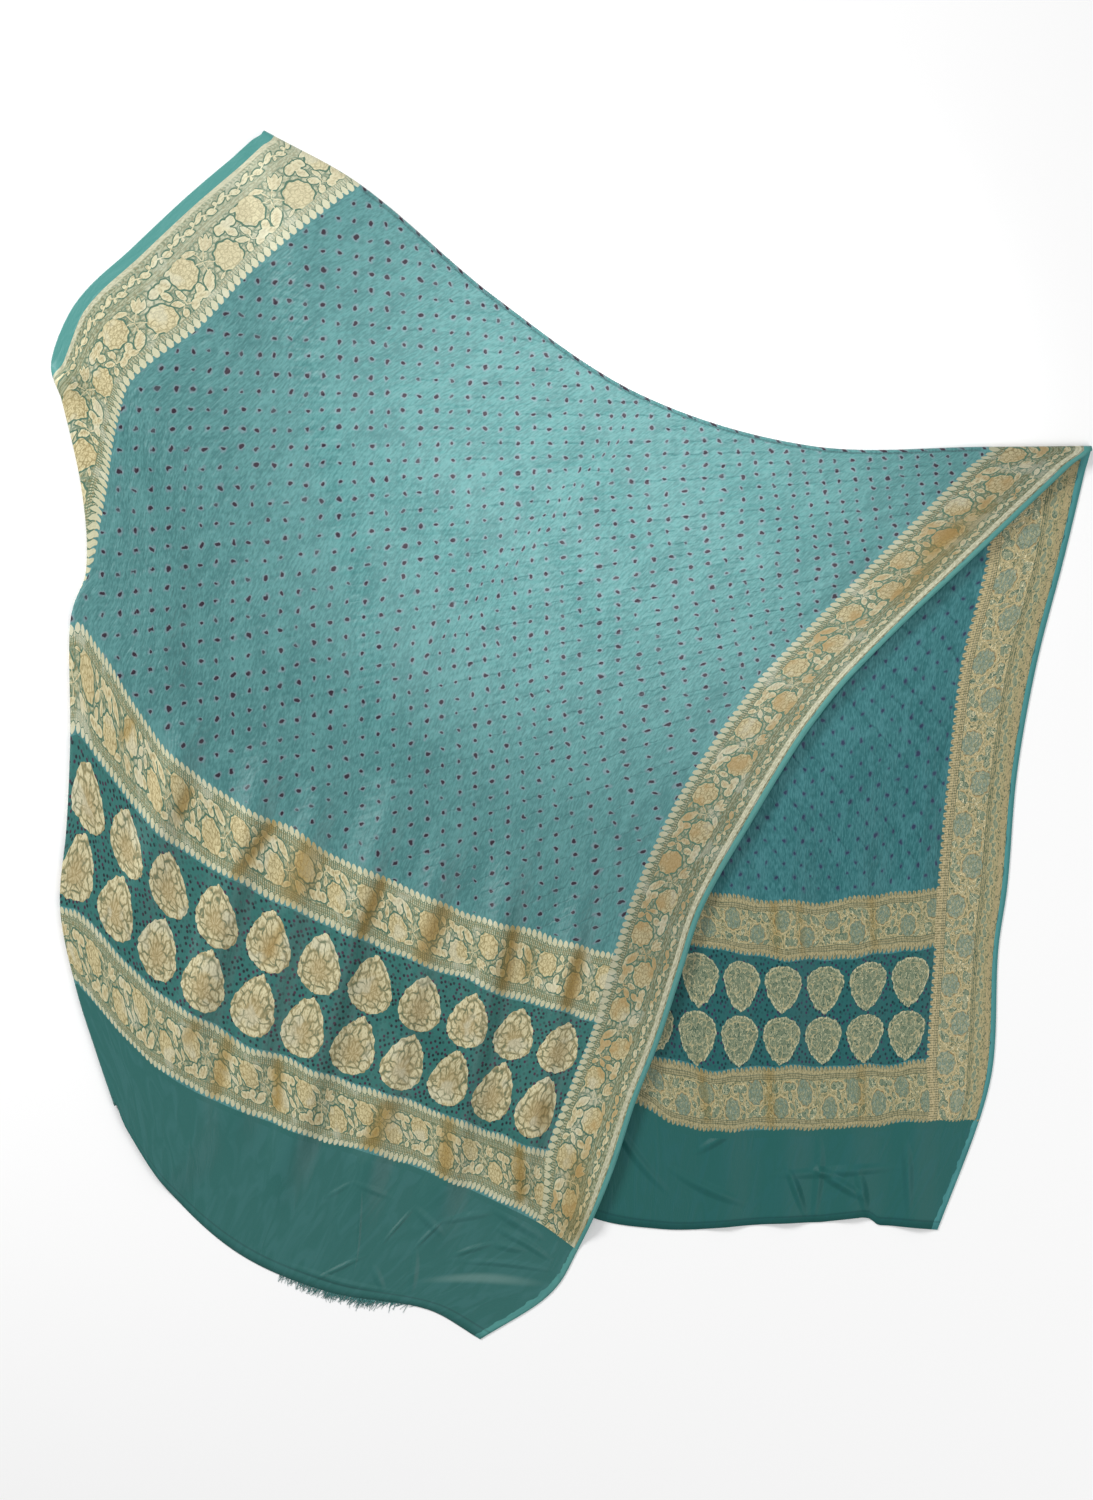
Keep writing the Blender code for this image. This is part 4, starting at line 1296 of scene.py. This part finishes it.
def reverse_gold(tree, sign, colours, grain, stray):
    """The same weave from behind: the motifs sink to grey teal, and loose gold floats run over them."""
    gold = mix_colour(tree, colours["filler"], colours["filler dark"], grain.fade(0.4, 0.7))
    gold = mix_colour(tree, gold, colours["motif"], sign["motif"] * 0.7)
    petal = mix_colour(tree, colours["rose"], colours["petal"], grain.fade(0.4, 0.6))
    gold = mix_colour(tree, gold, colours["drop"], sign["drop"] * 0.9)
    gold = mix_colour(tree, gold, colours["strip"], sign["strip"] * 0.8)
    ribs = mix_colour(tree, colours["tooth"], colours["lattice"], (sign["rib"] * 0.2 + grain).fade(0.35, 0.7))
    gold = mix_colour(tree, gold, ribs, sign["ribbed"])
    gold = mix_colour(tree, gold, colours["thread"], sign["edge line"] * 0.65)
    floats = (stray - 0.5).size().fade(0.01, 0.03, 1.0, 0.0)
    floats = floats.most((stray - 0.41).size().fade(0.004, 0.016, 1.0, 0.0))
    floats = floats * grain.fade(0.35, 0.55) * sign["vine"].times_plus(0.75, 0.25).between(0.85, sign["drop"])
    gaps = (stray - 0.58).size().fade(0.008, 0.03, 1.0, 0.0) * sign["ribbed"].less_from(1.0)
    gold = mix_colour(tree, gold, colours["thread"], gaps * 0.85)
    petal = mix_colour(tree, colours["thread"], petal, sign["petals"].times_plus(0.5, 0.5))
    gold = mix_colour(tree, gold, petal, sign["rose"] * 0.85)
    gold = mix_colour(tree, gold, colours["tan"], sign["rose line"] * stray.fade(0.35, 0.6, 0.9, 0.2))
    gold = mix_colour(tree, gold, colours["float"], floats * sign["rose"].times_plus(-0.5, 1.0))
    gold = mix_colour(tree, gold, colours["float"], sign["rim"] * grain.fade(0.38, 0.64) * 0.8)
    gold = tinted(tree, gold, DULL_BAND, sign["warm"].less_from(1.0))
    return mix_colour(tree, gold, colours["line"], sign["line"] * 0.6)


CREASES = (
    # name, across and along of the start, across and along of the end, half width, height; all mm of cloth
    ("long crease", 563, 119, 636, 28, 3.0, 1.2),
    ("arc 1", 526, 93, 553, 117, 5.0, 0.9),
    ("arc 2", 553, 117, 619, 113, 5.0, 0.9),
    ("fan 1", 653, 112, 646, 67, 5.0, 1.5),
    ("fan 2", 653, 43, 714, 14, 6.0, 1.5),
    ("star 1", 699, 73, 703, 111, 6.0, 1.8),
    ("star 2", 703, 108, 756, 137, 8.0, 1.6),
    ("star 3", 699, 73, 764, 17, 7.0, 1.8),
    ("star 4", 654, 112, 723, 95, 6.0, 1.5),
    ("wave 1", 761, 77, 794, 106, 8.0, 1.8),
    ("wave 2", 794, 106, 840, 113, 8.0, 1.8),
    ("wave 3", 781, 73, 895, 108, 7.0, 1.6),
    ("wave 4", 752, 141, 847, 136, 8.0, 2.0),
    ("wave 5", 776, 124, 883, 120, 7.0, 2.0),
    ("low crease", 581, 6, 634, 50, 6.0, 1.5),
    ("hem crease", 517, 14, 736, 15, 5.0, 1.5),
    ("far crease 1", 610, 1894, 676, 1957, 8.0, 3.6),
    ("far crease 2", 654, 1896, 775, 1944, 8.0, 4.0),
    ("far crease 3", 732, 1903, 792, 1962, 9.0, 3.6),
    ("far crease 4", 600, 1906, 800, 1903, 9.0, 2.8),
    ("far crease 5", 458, 1878, 520, 1848, 8.0, 3.0),
    ("far crease 6", 652, 1862, 696, 1962, 10.0, 3.0),
    ("far crease 7", 788, 1868, 860, 1952, 9.0, 3.2),
    ("far crease 8", 300, 1870, 420, 1925, 9.0, 3.0),
    ("far crease 9", 420, 1900, 560, 1940, 9.0, 3.0),
)
PALE_STREAK = (830.0, 62.0, 19.0, 90.0, 11.0)  # middle, turn, half length and half width of a paler streak in the near plain end


def creases_of(tree, place):
    """Height in mm of the creases charted in the two plain ends."""
    height = None
    for _, x0, y0, x1, y1, half_width, top in CREASES:
        turn = math.degrees(math.atan2(y1 - y0, x1 - x0))
        radii = (0.6 * math.hypot(x1 - x0, y1 - y0), half_width)
        ridge = oval(tree, place, (0.5 * (x0 + x1), 0.5 * (y0 + y1)), turn, radii).fade(0.0, 1.0, top, 0.0)
        height = ridge if height is None else height + ridge
    return height


def fabric(name, colours, part, reverse):
    """One side of the cloth in its woven parts, its dyed field or its plain ends."""
    material = bpy.data.materials.new(name)
    material.use_nodes = True
    tree = material.node_tree
    shader = tree.nodes["Principled BSDF"]
    group = tree.nodes.new("ShaderNodeGroup")
    group.node_tree = weave
    sign = {key: Amount(tree, group.outputs[key]) for key in OUTPUTS}
    place = weave_place(tree)
    crinkle = texture_of(tree, place, 0.5, (1.0, 0.3), 2.0)
    creases = texture_of(tree, place, 0.05, (1.0, 0.4), 2.0, 1.0)
    tone = crinkle * 0.62 + creases * 0.38
    colour = dyed_colour(tree, sign, colours, tone)
    height = crinkle * 0.4 + creases * 1.2 if part != "plain" else crinkle * 0.3 + creases * 0.8
    if part == "woven":
        grain = texture_of(tree, place, 0.55, (1.0, 0.45), 1.0)
        colour = panel_colour(tree, sign, colours, colour)
        if reverse:
            gold = reverse_gold(tree, sign, colours, grain, texture_of(tree, place, 0.15, (1.0, 1.0), 2.0))
        else:
            gold = face_gold(tree, sign, colours, grain, texture_of(tree, place, 0.03, (1.0, 1.0), 2.0))
        colour = mix_colour(tree, colour, gold, sign["gold"])
        # painted shade: zari in a valley is darkened and browned by the stored depth
        deep = Amount(tree, stored(tree, "painted_valley_shade")["Fac"]) * grain.fade(0.3, 0.6, 1.15, 0.85)
        deep = deep.least(1.0) * sign["gold"]
        colour = tinted(tree, colour, PAINTED_SHADE_IN_A_VALLEY, deep)
        colour = mix_colour(tree, colour, PAINTED_VALLEY_BROWN, deep * 0.6)
        height = sign["gold"].times_plus(0.2, height)
        plug(tree, sign["gold"].times_plus(0.06, 0.5), shader.inputs["Roughness"])
        plug(tree, sign["gold"] * 0.12, shader.inputs["Metallic"])
    else:
        shader.inputs["Roughness"].default_value = 0.5
        if part == "field":
            rows = stored(tree, "ties")["Vector"]
            here_and_there = texture_of(tree, rows, 0.9, (0.6, 1.0), 1.0).fade(0.42, 0.6)
            crease = sign["crease"] * here_and_there
            # painted shade darkens the field along its creases
            colour = tinted(tree, colour, PAINTED_SHADE_ON_A_CREASE, crease * 0.6)
            ripple = texture_of(tree, rows, 1.0, (0.8, 2.8), 1.0)
            pleat = texture_of(tree, place, 0.2, (1.0, 0.2), 1.0)
            height = sign["tie"].times_plus(-0.9, height) + ripple * 1.1 + pleat * 1.1 - crease * 0.5
        else:
            # painted light and shade: the plain ends are paler where the creases texture raises the cloth, darker
            # between
            colour = mix_colour(tree, colour, colours["teal"], creases.fade(0.4, 0.7) * 0.34)
            height = height + creases_of(tree, place) * 1.5
            streak = oval(tree, place, PALE_STREAK[:2], PALE_STREAK[2], PALE_STREAK[3:]).fade(0.2, 1.0, 0.6, 0.0)
            colour = mix_colour(tree, colour, colours["pale"], streak)
            colour = mix_colour(tree, colour, colours["speck b"], sign["hem"] * 0.25)
    tree.links.new(colour, shader.inputs["Base Color"])
    bump = tree.nodes.new("ShaderNodeBump")
    bump.inputs["Strength"].default_value = 0.6
    bump.inputs["Distance"].default_value = 1.0 * MM
    plug(tree, height, bump.inputs["Height"])
    tree.links.new(bump.outputs[0], shader.inputs["Normal"])
    shader.inputs["Sheen Weight"].default_value = 0.02 if reverse else 0.06
    shader.inputs["Sheen Roughness"].default_value = 0.5
    shader.inputs["Specular IOR Level"].default_value = 0.2 if reverse else 0.45
    material.diffuse_color = (*colours["teal"], 1.0)
    return material


for part in ("woven", "field", "plain"):
    cloth.data.materials.append(fabric(part + " face", FACE, part, False))
    cloth.data.materials.append(fabric(part + " reverse", REVERSE, part, True))
print(len(cloth.data.materials), "materials on", cloth.name)

# %% [markdown]
# ## Frayed threads
#
# Part of the near end was never hemmed, and its warp threads have worked loose into a short fringe. Each
# is a thin three-sided taper that leaves the edge along the warp and lies down on the table. They are
# too many to place by hand, so a seeded random generator gives each its place, length and bend.

# %% A fringe of loose threads
FRAYED = (505.0, 690.0, 800.0)  # mm across the cloth: the start, the thickest place and the end
THREAD_COUNT = 280
THREAD_RADIUS = 0.4  # mm
THREAD_TAPER = 0.6  # share of the radius that is gone at the tip
THREAD_ROOT = 1.5  # mm that a thread starts inside the cloth
THREAD_LENGTH = (3.0, 4.0, 9.0)  # mm: the least, the most at the fringe's ends, and how much more in its middle
THREAD_LEAN = 0.35  # spread of their directions
THREAD_CURL = 0.25  # and of their bends
THREAD_SHARES = (0.0, 0.3, 0.65, 1.0)  # of its length, where a thread has a ring of corners
THREAD_FALL = 1.4  # it is down on the table before its tip: at 1 / this of its length


def frayed_threads(edge, inner, across):
    """Vertices and faces of the loose threads along the near end."""
    dice = np.random.default_rng(11)
    least, most, more = THREAD_LENGTH
    corners, faces = [], []
    for _ in range(THREAD_COUNT):
        thread = dice.triangular(*FRAYED) * MM
        middle = 1.0 - abs(thread / MM - FRAYED[1]) / (FRAYED[2] - FRAYED[0])
        root, back = (
            np.array([np.interp(thread, across, line[:, axis]) for axis in range(3)]) for line in (edge, inner)
        )
        out = root - back
        out[2] = 0.0
        out = out / np.linalg.norm(out)
        lean = dice.normal(0.0, THREAD_LEAN)
        out = np.array([out[0] - lean * out[1], out[1] + lean * out[0], 0.0])
        curl = dice.normal(0.0, THREAD_CURL)
        length = dice.uniform(least, most + more * middle) * MM
        start = len(corners)
        for share in THREAD_SHARES:
            side = np.array([-out[1], out[0], 0.0])
            reach = length * share - THREAD_ROOT * MM * (1 - share)
            centre = root + out * reach + side * curl * length * share ** 2
            centre[2] = root[2] + (LEAST_HEIGHT - root[2]) * min(1.0, THREAD_FALL * share)
            radius = THREAD_RADIUS * MM * (1.0 - THREAD_TAPER * share)
            for corner in range(3):
                angle = 2 * math.pi * corner / 3
                corners.append(centre + radius * (side * math.cos(angle) + np.array([0, 0, 1]) * math.sin(angle)))
        for ring in range(len(THREAD_SHARES) - 1):
            for corner in range(3):
                a, b = start + 3 * ring + corner, start + 3 * ring + (corner + 1) % 3
                faces.append((a, b, b + 3, a + 3))
        faces.append((start + 2, start + 1, start))
        last = start + 3 * (len(THREAD_SHARES) - 1)
        faces.append((last, last + 1, last + 2))
    return corners, faces


first = BEND_STEPS + TAIL_STEPS
edge_line, inner_line = (sheet[row, first:][:, (0, 1, 3)] for row in (0, 2))
corners, faces = frayed_threads(edge_line, inner_line, sheet[0, first:, 2])
fringe_mesh = bpy.data.meshes.new("frayed_threads")
fringe_mesh.from_pydata([tuple(corner) for corner in corners], [], faces)
fringe_mesh.shade_smooth()
fringe = bpy.data.objects.new("frayed_threads", fringe_mesh)
bpy.context.scene.collection.objects.link(fringe)
loose = bpy.data.materials.new("loose teal thread")
loose.use_nodes = True
tree = loose.node_tree
coordinates = tree.nodes.new("ShaderNodeTexCoord")
twist = texture_of(tree, coordinates.outputs["Object"], 600.0, (1.0, 1.0), 1.0)
shades = mix_colour(tree, FACE["plain"], FACE["teal light"], twist.fade(0.3, 0.7))
tree.links.new(shades, tree.nodes["Principled BSDF"].inputs["Base Color"])
tree.nodes["Principled BSDF"].inputs["Roughness"].default_value = 0.7
fringe_mesh.materials.append(loose)
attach(fringe, "root")
print(THREAD_COUNT, "loose threads with", len(faces), "faces")

# %% [markdown]
# ## Surface, light and camera
#
# The cloth lies on a pale table and is seen from straight above.

# %% Table top, lights and camera
bpy.ops.object.select_all(action="DESELECT")
bpy.ops.mesh.primitive_plane_add(size=8.0, location=(0.0, 0.0, 0.0))
table_top = bpy.context.object
table_top.name = "table_top"
pale = bpy.data.materials.new("pale table top")
pale.use_nodes = True
pale.node_tree.nodes["Principled BSDF"].inputs["Base Color"].default_value = (0.95, 0.95, 0.95, 1.0)
pale.node_tree.nodes["Principled BSDF"].inputs["Roughness"].default_value = 0.9
table_top.data.materials.append(pale)

VIEW_HEIGHT = 1.605  # metres of table that the picture's height takes in
CAMERA_HEIGHT = 4.0
VIEW_MIDDLE = (-0.026, -0.016)
FILM = 36.0  # mm
SPOT_CONE = 30.0  # degrees

lens = bpy.data.cameras.new("camera")
lens.sensor_width = FILM
lens.lens = FILM * CAMERA_HEIGHT / VIEW_HEIGHT
camera = bpy.data.objects.new("camera", lens)
camera.location = (*VIEW_MIDDLE, CAMERA_HEIGHT)
bpy.context.scene.collection.objects.link(camera)
bpy.context.scene.camera = camera

LIGHTS = (
    # name, kind, place, size, power, aimed at
    ("key", "AREA", (-1.9, 1.5, 1.7), 0.9, 66.0, (0.0, 0.0, 0.0)),
    ("fill", "AREA", (1.8, -0.9, 2.4), 2.0, 36.0, (0.0, 0.0, 0.0)),
    ("over the field", "SPOT", (0.05, 0.4, 1.7), 0.24, 94.0, (0.04, 0.31, 0.0)),
)
for name, kind, place, size, power, target in LIGHTS:
    lamp = bpy.data.lights.new(name, kind)
    if kind == "AREA":
        lamp.size = size
    else:
        lamp.shadow_soft_size = 0.5 * size
        lamp.spot_size = math.radians(SPOT_CONE)
        lamp.spot_blend = 1.0
    lamp.energy = power
    holder = bpy.data.objects.new(name, lamp)
    aim = np.array(target) - np.array(place)
    holder.location = place
    away = math.atan2(math.hypot(aim[0], aim[1]), -aim[2])
    holder.rotation_euler = (away, 0.0, math.atan2(aim[1], aim[0]) - math.pi / 2)
    holder.visible_camera = False
    bpy.context.scene.collection.objects.link(holder)

world = bpy.data.worlds.new("soft room")
world.use_nodes = True
world.node_tree.nodes["Background"].inputs["Color"].default_value = (1.0, 1.0, 1.0, 1.0)
world.node_tree.nodes["Background"].inputs["Strength"].default_value = 0.4
bpy.context.scene.world = world
bpy.context.scene.view_settings.view_transform = "Standard"
